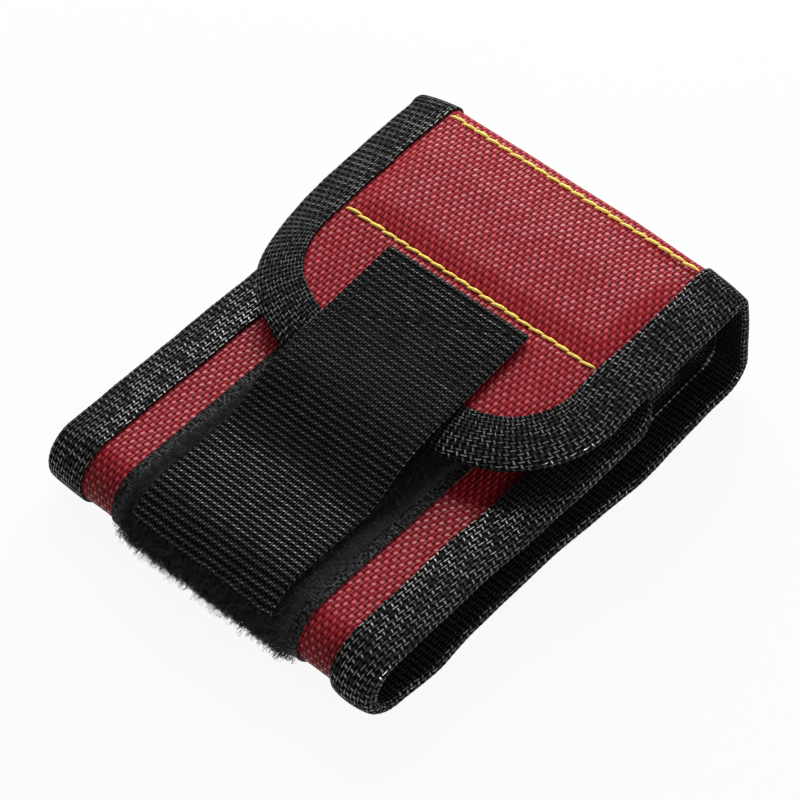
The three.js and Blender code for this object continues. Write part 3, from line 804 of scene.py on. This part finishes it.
def red_height(pattern, x, s):
    """How far the red cloth swells over the pockets and sinks at their seams."""
    inside = 1 - ramp(np.abs(x), pattern.half - 16 * MM, pattern.half - 9.5 * MM)
    low, high = pattern.seams["2"], pattern.seams["1"]
    swell = 1.25 * MM * ramp(s, low - 2 * MM, low + 6.5 * MM)
    swell = swell * (1 - ramp(s, high - 14 * MM, high + 1 * MM))
    low, high = pattern.seams["3"], pattern.seams["4"]
    part = np.clip((s - low) / (high - low), 0, 1)
    swell += 0.35 * MM * np.sin(math.pi * part) ** 0.7
    part = np.clip((s - pattern.wall) / (pattern.heel - pattern.wall), 0, 1)
    swell += 0.4 * MM * np.sin(math.pi * part)
    sink = 0
    for seam in pattern.seams.values():
        close = np.exp(-np.abs(s - seam) / (3.2 * MM))
        sink += slack(s - seam, SEAM_SINK) + close * (0.10 * MM) * drift(x, s * 0.3, 5, 5 * MM)
    return swell * inside - sink * inside + 0.07 * MM * drift(x, s, 3, 17 * MM) * inside


def panel(pattern, name, start, stop, half, height, thickness, material, steps):
    """One length of cloth of the band, folded to its place."""
    rows = spread(start, stop, steps[1])
    columns = spread(-1, 1, 2 * steps[0] / (2 * pattern.half))
    piece, column, row = flat_cut(name, len(columns), len(rows))
    s = rows[row]
    x = columns[column] * half(s)
    low = pattern.hang(x, s, pattern.inset_of(x, s))
    lay(piece, pattern.fold.place(x, s, height(x, s) - low), np.stack([x, s], -1))
    if thickness < 0:
        piece.data.flip_normals()
    thicken(piece, abs(thickness), material)
    return piece


def cut_lengths(pattern):
    """The four lengths of the band, each over one fold: marks, half width, joint and name."""
    sizes = pattern.sizes
    inset = pattern.inset
    straight = lambda s: np.full(np.shape(s), pattern.half - inset)
    tab = pattern.pull(0, sizes.tab_corner, inset)
    loop = pattern.pull(pattern.end, sizes.under_corner, inset)
    return [
        ("tab", inset, pattern.flap_cut, tab, "tab_fold"),
        ("shoulder", pattern.flap_cut, pattern.wall_cut, straight, "flap_fold"),
        ("base", pattern.wall_cut, pattern.near, straight, "wall_fold"),
        ("loop_end", pattern.near, pattern.end - inset, loop, "loop_end_fold"),
    ]


SHELL_NODES = {
    "tab": ("shell_tab", "shell_flap"),
    "shoulder": ("shell_shoulder", "shell_wall"),
    "base": ("shell_heel", "shell_base"),
    "loop_end": ("shell_near_fold", "shell_under"),
}
LINING_NODES = {
    "tab": ("lining_tab",),
    "shoulder": ("lining_flap", "lining_wall"),
    "base": ("lining_base",),
    "loop_end": ("lining_under",),
}
EDGE_NODES = {
    "tab": ("binding_tab", "binding_flap_left", "binding_flap_right"),
    "shoulder": ("binding_shoulder_{0}", "binding_wall_{0}"),
    "base": ("binding_heel_{0}", "binding_base_{0}"),
    "loop_end": ("binding_near_fold_left", "binding_near_fold_right", "binding_under"),
}


def cut_area(half, start, stop):
    s = np.linspace(start, stop, 400)
    return float(np.mean(2 * half(s)) * (stop - start))


def sew_lengths(pattern, layer, nodes, height, thickness, material, steps):
    """One layer of the band, in its four lengths."""
    for name, start, stop, half, joint in cut_lengths(pattern):
        piece = panel(pattern, f"{layer}_{name}", start, stop, half, height, thickness, material, steps)
        dress(piece, nodes[name])
        area = cut_area(half, start, stop)
        stop - start
        pattern.blends(joint, piece)


def sew_shell(pattern):
    height = lambda x, s: red_height(pattern, x, s)
    sew_lengths(
        pattern, "red_cloth", SHELL_NODES, height, pattern.sizes.shell_thickness,
        cloth("red", red_cloth), (1.1 * MM, 0.7 * MM),
    )


def sew_lining(pattern):
    sizes = pattern.sizes
    room, ease = 0.3 * MM, 2.4 * MM  # round the foam, and from there back to the shell

    def height(x, s):
        reach = sizes.foam_width / 2 + room
        full = 0
        for low, high in pattern.pockets.values():
            low, high = low - room, high + room
            full += ramp(s, low - ease, low) * (1 - ramp(s, high, high + ease))
        puff = 0.15 * MM * drift(x, s, 11, 9 * MM)
        depth = (sizes.foam_thickness + GAP + puff) * full * (1 - ramp(np.abs(x), reach, reach + ease))
        return pattern.lining_low - depth

    sew_lengths(
        pattern, "black_lining", LINING_NODES, height, -sizes.lining_thickness,
        cloth("lining", lining_cloth), (1.3 * MM, 0.9 * MM),
    )


def tape_section(pattern):
    """Inset, height and place across the tape, from its outer edge over the rim to its inner edge."""
    sizes = pattern.sizes
    rim = (pattern.edge_top - pattern.edge_low) / 2
    middle = (pattern.edge_top + pattern.edge_low) / 2
    outer = np.linspace(sizes.tape_leaf, rim, 11)
    bead = np.array([1.0, 0.75, 0.55, 0.4, 0.28, 0.15, 0.0]) * MM
    inner = np.concatenate([np.linspace(rim, sizes.inner_leaf - 1.3 * MM, 8), sizes.inner_leaf - bead])
    turn = np.linspace(0, math.pi, 11)[1:-1]
    inset = np.concatenate([outer, rim - rim * np.sin(turn), inner])
    top, low = np.full(outer.shape, pattern.edge_top), np.full(inner.shape, pattern.edge_low)
    height = np.concatenate([top, middle + rim * np.cos(turn), low])
    gone = np.concatenate([[0], np.cumsum(np.hypot(np.diff(inset), np.diff(height)))])
    return inset, height, gone


def tape_edge(pattern, name, edge, material):
    """A tape folded over one edge of the band: edge holds x, s and the way in, step by step."""
    sizes = pattern.sizes
    inset, height, across = tape_section(pattern)
    x, s, in_x, in_s = edge
    step = np.hypot(np.diff(x), np.diff(s))
    along = np.concatenate([[0], np.cumsum(step)]) + s[0]
    piece, column, row = flat_cut(name, len(inset), len(x))
    inward, where = inset[column], along[row]
    rim = (pattern.edge_top - pattern.edge_low) / 2
    outer = np.sign(height[column] - (pattern.edge_top + pattern.edge_low) / 2)
    part = inward / sizes.tape_leaf
    arch = np.sin(math.pi * np.clip(part, 0, 1))
    dots = np.abs(np.sin(math.pi * where / TAPE_RIB))
    bump = 0.10 * MM * dots * (1 - ramp(inward, 0.0, 2.5 * rim))
    wave = 0.2 * MM * drift(where, across[column] * 0.2, 21, 17 * MM)
    depth = inward - bump - wave - pattern.bow(x[row], s[row])
    swell = 0.14 * MM * arch + 0.10 * MM * drift(where, across[column], 8, 8 * MM) * (1 - part)
    bead = slack(inward - sizes.inner_leaf, TAPE_BEAD) * (outer < 0)
    turned = slack(s[row] - (pattern.near + pattern.under) / 2, NEAR_SLACK)
    turned = turned * (x[row] > 0) * (outer > 0)
    swell = swell + bead * (0.35 + 0.65 * dots) + turned * arch**0.5
    px, ps = x[row] + in_x[row] * depth, s[row] + in_s[row] * depth
    lift = height[column] + outer * swell - pattern.hang(px, ps, depth)
    lay(piece, pattern.fold.place(px, ps, lift), np.stack([across[-1] - across[column], where], -1))
    if (x[1] - x[0]) * in_s[0] - (s[1] - s[0]) * in_x[0] < 0:
        piece.data.flip_normals()
    thicken(piece, sizes.tape_thickness, material, 60)
    return piece, across[-1], along[-1] - along[0]


def side_edge(pattern, start, stop, side):
    s = spread(start, stop, EDGE_STEP)
    return np.full(s.shape, side * pattern.half), s, np.full(s.shape, -side), np.zeros(s.shape)


def round_edge(pattern, root, end, corner):
    """Down one side, round the end and back up the other side."""
    way = math.copysign(1, end - root)
    down = spread(0, abs(end - root) - corner, EDGE_STEP)[:-1]
    turn = np.linspace(0, math.pi / 2, round(corner * math.pi / 2 / EDGE_STEP) + 1)
    x = np.concatenate([np.full(down.shape, pattern.half), pattern.half - corner + corner * np.cos(turn)])
    s = np.concatenate([root + way * down, end - way * corner + way * corner * np.sin(turn)])
    in_x = np.concatenate([np.full(down.shape, -1.0), -np.cos(turn)])
    in_s = np.concatenate([np.zeros(down.shape), -way * np.sin(turn)])
    flat = -spread(corner - pattern.half, pattern.half - corner, EDGE_STEP)[1:-1]
    x = np.concatenate([x, flat, -x[::-1]])
    s = np.concatenate([s, np.full(flat.shape, end), s[::-1]])
    in_x = np.concatenate([in_x, np.zeros(flat.shape), -in_x[::-1]])
    in_s = np.concatenate([in_s, np.full(flat.shape, -way), in_s[::-1]])
    return x, s, in_x, in_s


def sew_edges(pattern):
    sizes = pattern.sizes
    black = cloth("edge", edge_cloth)
    tab_end = round_edge(pattern, pattern.flap_cut, 0.0, sizes.tab_corner)
    loop_end = round_edge(pattern, pattern.near, pattern.end, sizes.under_corner)
    edges = [("tab", "", tab_end, "tab_fold"), ("loop_end", "", loop_end, "loop_end_fold")]
    sides = [
        ("shoulder", pattern.flap_cut, pattern.wall_cut, "flap_fold"),
        ("base", pattern.wall_cut, pattern.near, "wall_fold"),
    ]
    for name, start, stop, joint in sides:
        for label, side in (("left", -1), ("right", 1)):
            edges.append((name, label, side_edge(pattern, start, stop, side), joint))
    for name, label, edge, joint in edges:
        title = f"edge_tape_{name}_{label}" if label else f"edge_tape_{name}"
        piece, wide, long = tape_edge(pattern, title, edge, black)
        dress(piece, [node.format(label) for node in EDGE_NODES[name]])
        pattern.blends(joint, piece)


def fill_pockets(pattern):
    """Foam with a hole for each magnet, modelled flat and set in its pocket."""
    sizes = pattern.sizes
    grey, plate = cloth("foam", foam), cloth("nickel", nickel)
    for name, (low, high) in pattern.pockets.items():
        middle = (low + high) / 2
        deselect()
        bpy.ops.mesh.primitive_cube_add(size=1)
        slab = bpy.context.object
        slab.name = slab.data.name = f"foam_{name}"
        bpy.ops.object.mode_set(mode="EDIT")
        bpy.ops.transform.resize(value=(sizes.foam_width, high - low, sizes.foam_thickness))
        bpy.ops.mesh.bevel(offset=0.25 * MM, segments=2, affect="EDGES")
        bpy.ops.object.mode_set(mode="OBJECT")
        deselect()
        for i in range(5):
            bpy.ops.mesh.primitive_cylinder_add(
                vertices=40, radius=sizes.magnet_hole / 2, depth=4 * sizes.foam_thickness,
                location=((i - 2) * sizes.magnet_pitch, 0, 0),
            )
            bpy.context.object.name = f"punch_{i}"
        punches = [bpy.data.objects[f"punch_{i}"] for i in range(5)]
        join(punches)
        bpy.ops.object.transform_apply(location=True, rotation=True, scale=True)
        apply(slab, "BOOLEAN", object=punches[0], operation="DIFFERENCE", solver="EXACT")
        bpy.data.objects.remove(punches[0])
        pick(slab)
        drop = pattern.lining_top - sizes.foam_thickness / 2
        slab.rotation_euler.x = float(pattern.fold.at(middle)[2])
        slab.location = pattern.fold.place(0, np.array(middle), drop)
        bpy.ops.object.transform_apply(location=True, rotation=True, scale=True)
        bpy.ops.object.shade_smooth_by_angle(angle=35 * DEG)
        coat(slab, grey)
        body = "band" if name == "base" else name
        dress(slab, [f"carrier_{name}"], body)
    for name, disc in frame["nodes"].items():
        if name.startswith("magnet_"):
            coat(disc, plate)


def lay_loop_tape(pattern):
    """The loop tape round the near fold: a ribbed ground with sunken selvedges."""
    sizes = pattern.sizes
    start = pattern.under - sizes.near_radius * sizes.pile_wrap
    stop = pattern.end - sizes.tape_leaf - GAP
    half = sizes.pile_width / 2
    ground, sunk = 0.62 * sizes.pile_height, 0.42 * sizes.pile_height
    across = 69

    def height(x, s):
        plush = 1 - ramp(np.abs(x), half - 3.2 * MM, half - 2.2 * MM)
        ends = ramp(s, start, start + 1.2 * MM) * (1 - ramp(s, stop - 1.2 * MM, stop))
        return sunk + plush * ends * (ground - sunk) + 0.05 * MM * drift(x, s, 31, 3 * MM)

    piece, column, row = flat_cut("loop_tape", across, round((stop - start) / (0.7 * MM)) + 1)
    x = np.linspace(-half, half, across)[column]
    s = np.linspace(start, stop, row.max() + 1)[row]
    lay(piece, pattern.fold.place(x, s, height(x, s)), np.stack([x, s], -1))
    thicken(piece, sunk - GAP, cloth("ground", pile_ground))
    dress(piece, ("loop_tape_fold", "loop_tape_under"))
    stop - start
    pattern.blends("loop_end_fold", piece)
    raise_pile(pattern, start, stop, ground)


def raise_pile(pattern, start, stop, ground):
    """Curled fibres in four areas: long and dense where the fold is bare, short under the strap."""
    sizes = pattern.sizes
    rng = np.random.default_rng(17)
    inner, strap = sizes.pile_width / 2 - 2.6 * MM, sizes.strap_width / 2
    covered, far = pattern.under - 0.75 * sizes.near_radius, pattern.under + 42 * MM
    floor = 0.05 * MM
    patches = {
        "loop_pile_fold": (start + 0.6 * MM, covered, -inner, inner, 8.0),
        "loop_pile_left": (covered, far, -inner, -strap + 2 * MM, 5.0),
        "loop_pile_right": (covered, far, strap - 2 * MM, inner, 5.0),
        "loop_pile_middle": (covered, stop - 0.8 * MM, -strap, strap, 2.2),
    }
    fibre = cloth("fibre", pile_fibre)
    for name, (low, high, left, right, density) in patches.items():
        count = int((high - low) * (right - left) / MM**2 * density)
        root_x, root_s = rng.uniform(left, right, count), rng.uniform(low, high, count)
        lean = rng.uniform(0, 2 * math.pi, count)
        bow = rng.uniform(0.25, 0.75, count) * MM
        tall = rng.uniform(0.35, 0.9, count) * MM * (2.0 if name == "loop_pile_fold" else 1)
        stray = rng.random(count) < (0.2 if name == "loop_pile_fold" else 0.05)
        tall = np.where(stray, tall * rng.uniform(1.2, 2.0, count), tall)
        if name == "loop_pile_middle":
            tall = np.minimum(tall, 0.6 * MM)
        t = np.linspace(0, 1, 5)
        over = np.sin(t * math.pi * 0.82)
        swing = rng.uniform(-0.35, 0.35, (count, 1)) * MM * np.sin(t * math.pi * 1.7)
        ahead = bow[:, None] * 2 * t
        x = root_x[:, None] + np.cos(lean)[:, None] * ahead - np.sin(lean)[:, None] * swing
        s = root_s[:, None] + np.sin(lean)[:, None] * ahead + np.cos(lean)[:, None] * swing
        lift = ground - 0.15 * MM + tall[:, None] * over
        lines = pattern.fold.place(x, s, lift)
        lines[..., 2] = np.maximum(lines[..., 2], floor)
        tuft = strands(name, lines, 0.048 * MM * (1 - 0.4 * t), fibre)
        pattern.blends("loop_end_fold", tuft)


def sew_strap(pattern):
    """Ribbed webbing from its free end over the loop tape up on to the tab, with hooks below."""
    sizes = pattern.sizes
    strap = pattern.strap
    half = sizes.strap_width / 2
    rib = 1.5 * MM
    rows = spread(0, strap.length, 0.25 * MM)
    columns = np.concatenate([[-1, -0.994, -0.98], np.linspace(-0.955, 0.955, 43), [0.98, 0.994, 1]])
    piece, column, row = flat_cut("hook_strap", len(columns), len(rows))
    x, u = columns[column] * half, rows[row]
    uneven = 0.18 * MM * drift(x, x * 0, 41, 2.5 * MM) * (1 - ramp(u, 0, 3 * MM))
    side = np.sqrt(np.clip((1 - np.abs(columns[column])) / 0.03, 0, 1))
    ribs = np.abs(np.sin(math.pi * u / rib)) ** 0.8
    edge = 0.10 * MM * np.sin(2 * math.pi * u / rib) * (np.abs(columns[column]) > 0.97) * np.sign(x)
    sewn = ramp(u, pattern.strap_foot - 1 * MM, pattern.strap_foot + 2 * MM)
    box = box_sink(pattern, x, u) * sewn
    height = sizes.strap_thickness - 0.30 * MM * (1 - side) - 0.09 * MM * (1 - ribs) - box
    height = height + 0.10 * MM * drift(x, u, 43, 16 * MM) * (1 - sewn)
    lay(piece, strap.place(x + edge, u + uneven, height), np.stack([x, u], -1))
    thicken(piece, sizes.strap_thickness - 0.35 * MM, cloth("strap", strap_cloth))
    dress(piece, ("strap_free", "strap_sewn"))
    pattern.blends("strap_peel", piece)

    grid_x = np.arange(-half + 2 * MM, half - 2 * MM, 1.5 * MM)
    grid_u = np.arange(2 * MM, 40 * MM, 1.5 * MM)
    root_x, root_u = (value.ravel() for value in np.meshgrid(grid_x, grid_u))
    t = np.linspace(0, 1, 6)
    hook = 0.42 * MM
    ahead, down = 0.22 * MM * (1 - np.cos(t * math.pi * 1.15)), hook * np.sin(t * math.pi * 0.62)
    way = np.where(np.arange(len(root_x)) % 2, 1, -1)
    u = root_u[:, None] + way[:, None] * ahead
    lines = strap.place(np.broadcast_to(root_x[:, None], u.shape), u, hook - down + 0 * u)
    hooks = strands("strap_hooks", lines, 0.07 * MM, cloth("fibre", pile_fibre), 4)
    dress(hooks, (), "strap")


def box_lines(pattern):
    """The seam that holds the strap: a box and its cross, as lines across and along the strap."""
    strap, sizes = pattern.strap, pattern.sizes
    wide = sizes.strap_width / 2 - 3 * MM
    middle = (pattern.strap_foot + strap.length) / 2
    tall = (strap.length - pattern.strap_foot) / 2 - 1.5 * MM
    low, high = middle - tall, middle + tall
    a, b, c, d = (-wide, low), (wide, low), (wide, high), (-wide, high)
    return [(a, b), (b, c), (c, d), (d, a), (a, c), (b, d)]


def box_sink(pattern, x, u):
    """How far the seam pulls the strap in."""
    sink = np.zeros(np.shape(x))
    for (x0, u0), (x1, u1) in box_lines(pattern):
        long = math.hypot(x1 - x0, u1 - u0)
        t = np.clip(((x - x0) * (x1 - x0) + (u - u0) * (u1 - u0)) / long**2, 0, 1)
        away = np.hypot(x - x0 - t * (x1 - x0), u - u0 - t * (u1 - u0))
        sink = np.maximum(sink, slack(away, BOX_SINK))
    return sink


def stitches(name, seams, radius, pitch, material, segments, rings):
    """Stitches along lines: each seam is a start, an end, a way up and how far the stitches lean."""
    deselect()
    bpy.ops.mesh.primitive_uv_sphere_add(segments=segments, ring_count=rings, radius=1)
    seed = bpy.context.object
    seed.name = f"{name}_seed"
    mesh = seed.data
    ball = np.array([vertex.co for vertex in mesh.vertices])
    t = ball[:, 2]
    around = np.arctan2(ball[:, 1], ball[:, 0])
    full = np.clip(1 - np.abs(t) ** 3.2, 0, 1) ** 0.55
    lobes = 1 + 0.14 * np.cos(2 * (around - t * 4.2))
    body = np.stack([np.cos(around) * full * lobes, np.sin(around) * full * lobes, t], -1)
    copies = []
    rng = np.random.default_rng(len(seams) + segments)
    for start, end, up, lean in seams:
        start, end, up = (np.asarray(value, float) for value in (start, end, up))
        long = np.linalg.norm(end - start)
        count = max(1, round(long / pitch))
        way = (end - start) / long
        across = np.cross(up, way)
        for i in range(count):
            pick(seed)
            bpy.ops.object.duplicate()
            copy = bpy.context.object
            middle = start + way * long * (i + 0.5) / count + across * radius * rng.uniform(-0.25, 0.25)
            reach = long / count * rng.uniform(0.57, 0.63)
            turned = way + across * (lean + rng.uniform(-0.05, 0.05))
            turned /= np.linalg.norm(turned)
            aside = np.cross(up, turned)
            thick = radius * rng.uniform(0.9, 1.08)
            dip = -1.2 * radius * np.abs(t) ** 3
            points = middle + np.outer(body[:, 2] * reach, turned)
            points += np.outer(body[:, 0] * thick, aside) + np.outer(body[:, 1] * thick + dip, up)
            copy.data.vertices.foreach_set("co", points.ravel())
            copy.data.update()
            layer = copy.data.uv_layers.active
            for loop in copy.data.loops:
                k = loop.vertex_index
                layer.data[loop.index].uv = (t[k] * reach / MM, around[k] / math.pi)
            copies.append(copy)
    join(copies)
    piece = bpy.context.object
    bpy.data.objects.remove(seed)
    piece.name = piece.data.name = name
    bpy.ops.object.shade_smooth()
    coat(piece, material)
    return piece


def sew_seams(pattern):
    sizes = pattern.sizes
    yellow = cloth(
        "yellow", lambda c: thread("yellow_thread", c.yellow_thread, c.yellow_shade, 0.42, 0.5)
    )
    for label, s in pattern.seams.items():
        lift = float(red_height(pattern, np.array(0.0), np.array(s))) + 0.30 * MM
        ends = [pattern.fold.place(side * pattern.seam_half, np.array(s), lift) for side in (-1, 1)]
        seam = [(*ends, pattern.fold.up(s), 0.13)]
        row = stitches(
            f"yellow_seam_{label}", seam, sizes.thread_radius, sizes.stitch_length, yellow, 12, 14
        )
        body = {"1": "wall", "2": "flap"}.get(label, "band")
        dress(row, (f"stitch_row_{label}",), body)


def sew_box(pattern):
    make = lambda c: thread("black_thread", c.black_yarn, c.black_gap, 0.6, 0.08)
    strap = pattern.strap
    up = strap.up((pattern.strap_foot + strap.length) / 2)
    height = pattern.sizes.strap_thickness - 0.05 * MM
    seams = []
    for first, last in box_lines(pattern):
        ends = [strap.place(x, np.array(u), height) for x, u in (first, last)]
        seams.append((*ends, up, 0.05))
    piece = stitches("black_box_seam", seams, 0.20 * MM, 2.7 * MM, cloth("black", make), 8, 7)
    dress(piece, ("strap_box_stitch",), "tab")


# The stage


def set_stage(colours):
    """A pale floor, soft light and the camera."""
    deselect()
    bpy.ops.mesh.primitive_plane_add(size=6, location=(0, 0, -0.0002))
    floor = bpy.context.object
    floor.name = "floor"
    finish = Finish("pale_floor")
    shade = finish.shades(finish.noise(finish.here(), 40.0, 3.0), colours.floor_white, 0.98)
    matt = finish.surface(Base_Color=shade, Roughness=0.9, Specular_IOR_Level=0.1)
    white = finish.add("ShaderNodeEmission", {}, {"Color": (1, 1, 1, 1), "Strength": 1.0})
    shader = finish.add("ShaderNodeMixShader", {}, {0: finish.seen() * 0.93, 1: matt, 2: white})
    floor.data.materials.append(finish.done(shader))

    sky = Finish("studio", bpy.data.worlds)
    light = sky.add("ShaderNodeBackground", {}, {"Color": (1, 1, 1, 1), "Strength": 0.18})
    back = sky.add("ShaderNodeBackground", {}, {"Color": (1, 1, 1, 1), "Strength": 1.0})
    both = sky.add("ShaderNodeMixShader", {}, {0: sky.seen(), 1: light, 2: back})
    bpy.context.scene.world = sky.done(both, "World")

    # Name, place, size and power. The key lamp only lights: the yarns glint by the others.
    lamps = [
        ("key", (-0.36, 0.40, 0.34), 0.7, 6.5),
        ("top", (-0.36, 0.50, 0.54), 0.5, 4.1),
        ("side", (0.55, -0.12, 0.10), 0.18, 2.0),
    ]
    for name, place, size, power in lamps:
        deselect()
        bpy.ops.object.light_add(type="AREA", location=place)
        lamp = bpy.context.object
        lamp.name = f"lamp_{name}"
        lamp.data.size = size
        lamp.data.energy = power
        lamp.visible_glossy = name != "key"
        aim = Vector((0, 0, 0.015)) - Vector(place)
        lamp.rotation_euler = aim.to_track_quat("-Z", "Y").to_euler()

    deselect()
    tilt, turn = (90 - 50.47) * DEG, 41.64 * DEG
    bpy.ops.object.camera_add(location=(0.2889, -0.3255, 0.5389), rotation=(tilt, 0, turn))
    camera = bpy.context.object
    camera.data.lens = 148.3
    camera.data.sensor_width = 36
    camera.data.clip_end = 20
    bpy.context.scene.camera = camera
    bpy.context.scene.view_settings.view_transform = "Standard"


# Operators and panel


def pattern_of(context):
    return Pattern(context.scene.wristband_sizes)


class WRISTBAND_OT_shell(bpy.types.Operator):
    """Lay the red cloth of the band round its fold"""

    bl_idname = "wristband.shell"
    bl_label = "Red cloth"

    def execute(self, context):
        sew_shell(pattern_of(context))
        return {"FINISHED"}


class WRISTBAND_OT_lining(bpy.types.Operator):
    """Lay the black lining and form its magnet pockets"""

    bl_idname = "wristband.lining"
    bl_label = "Lining"

    def execute(self, context):
        sew_lining(pattern_of(context))
        return {"FINISHED"}


class WRISTBAND_OT_edges(bpy.types.Operator):
    """Fold the edge tape over every edge of the band"""

    bl_idname = "wristband.edges"
    bl_label = "Edge tape"

    def execute(self, context):
        sew_edges(pattern_of(context))
        return {"FINISHED"}


class WRISTBAND_OT_pockets(bpy.types.Operator):
    """Fill the pockets with punched foam and plate the magnets"""

    bl_idname = "wristband.pockets"
    bl_label = "Foam and magnets"

    def execute(self, context):
        fill_pockets(pattern_of(context))
        return {"FINISHED"}


class WRISTBAND_OT_loop_tape(bpy.types.Operator):
    """Lay the loop tape and raise its pile"""

    bl_idname = "wristband.loop_tape"
    bl_label = "Loop tape"

    def execute(self, context):
        lay_loop_tape(pattern_of(context))
        return {"FINISHED"}


class WRISTBAND_OT_strap(bpy.types.Operator):
    """Lay the hook strap over the tab and the loop tape"""

    bl_idname = "wristband.strap"
    bl_label = "Hook strap"

    def execute(self, context):
        sew_strap(pattern_of(context))
        return {"FINISHED"}


class WRISTBAND_OT_seams(bpy.types.Operator):
    """Sew the yellow pocket seams and the black box seam"""

    bl_idname = "wristband.seams"
    bl_label = "Seams"

    def execute(self, context):
        sew_seams(pattern_of(context))
        sew_box(pattern_of(context))
        return {"FINISHED"}


class WRISTBAND_OT_stage(bpy.types.Operator):
    """Set the floor, the lamps and the camera"""

    bl_idname = "wristband.stage"
    bl_label = "Stage"

    def execute(self, context):
        set_stage(context.scene.wristband_finish)
        return {"FINISHED"}


STEPS = ("stage", "shell", "lining", "edges", "pockets", "loop_tape", "strap", "seams")


class WRISTBAND_PT_panel(bpy.types.Panel):
    """Sizes, colours and steps of the wristband"""

    bl_idname = "WRISTBAND_PT_panel"
    bl_label = "Magnetic wristband"
    bl_space_type = "VIEW_3D"
    bl_region_type = "UI"
    bl_category = "Wristband"

    def draw(self, context):
        for group in (context.scene.wristband_sizes, context.scene.wristband_finish):
            box = self.layout.box()
            for key in group.__annotations__:
                box.prop(group, key)
        for step in STEPS:
            self.layout.operator(f"wristband.{step}")


CLASSES = (
    WristbandSizes,
    WristbandFinish,
    WRISTBAND_OT_shell,
    WRISTBAND_OT_lining,
    WRISTBAND_OT_edges,
    WRISTBAND_OT_pockets,
    WRISTBAND_OT_loop_tape,
    WRISTBAND_OT_strap,
    WRISTBAND_OT_seams,
    WRISTBAND_OT_stage,
    WRISTBAND_PT_panel,
)


def register():
    for item in CLASSES:
        bpy.utils.register_class(item)
    bpy.types.Scene.wristband_sizes = bpy.props.PointerProperty(type=WristbandSizes)
    bpy.types.Scene.wristband_finish = bpy.props.PointerProperty(type=WristbandFinish)


def unregister():
    del bpy.types.Scene.wristband_finish
    del bpy.types.Scene.wristband_sizes
    for item in reversed(CLASSES):
        bpy.utils.unregister_class(item)


def main():
    register()
    for step in STEPS:
        getattr(bpy.ops.wristband, step)()


if __name__ == "__main__":
    main()
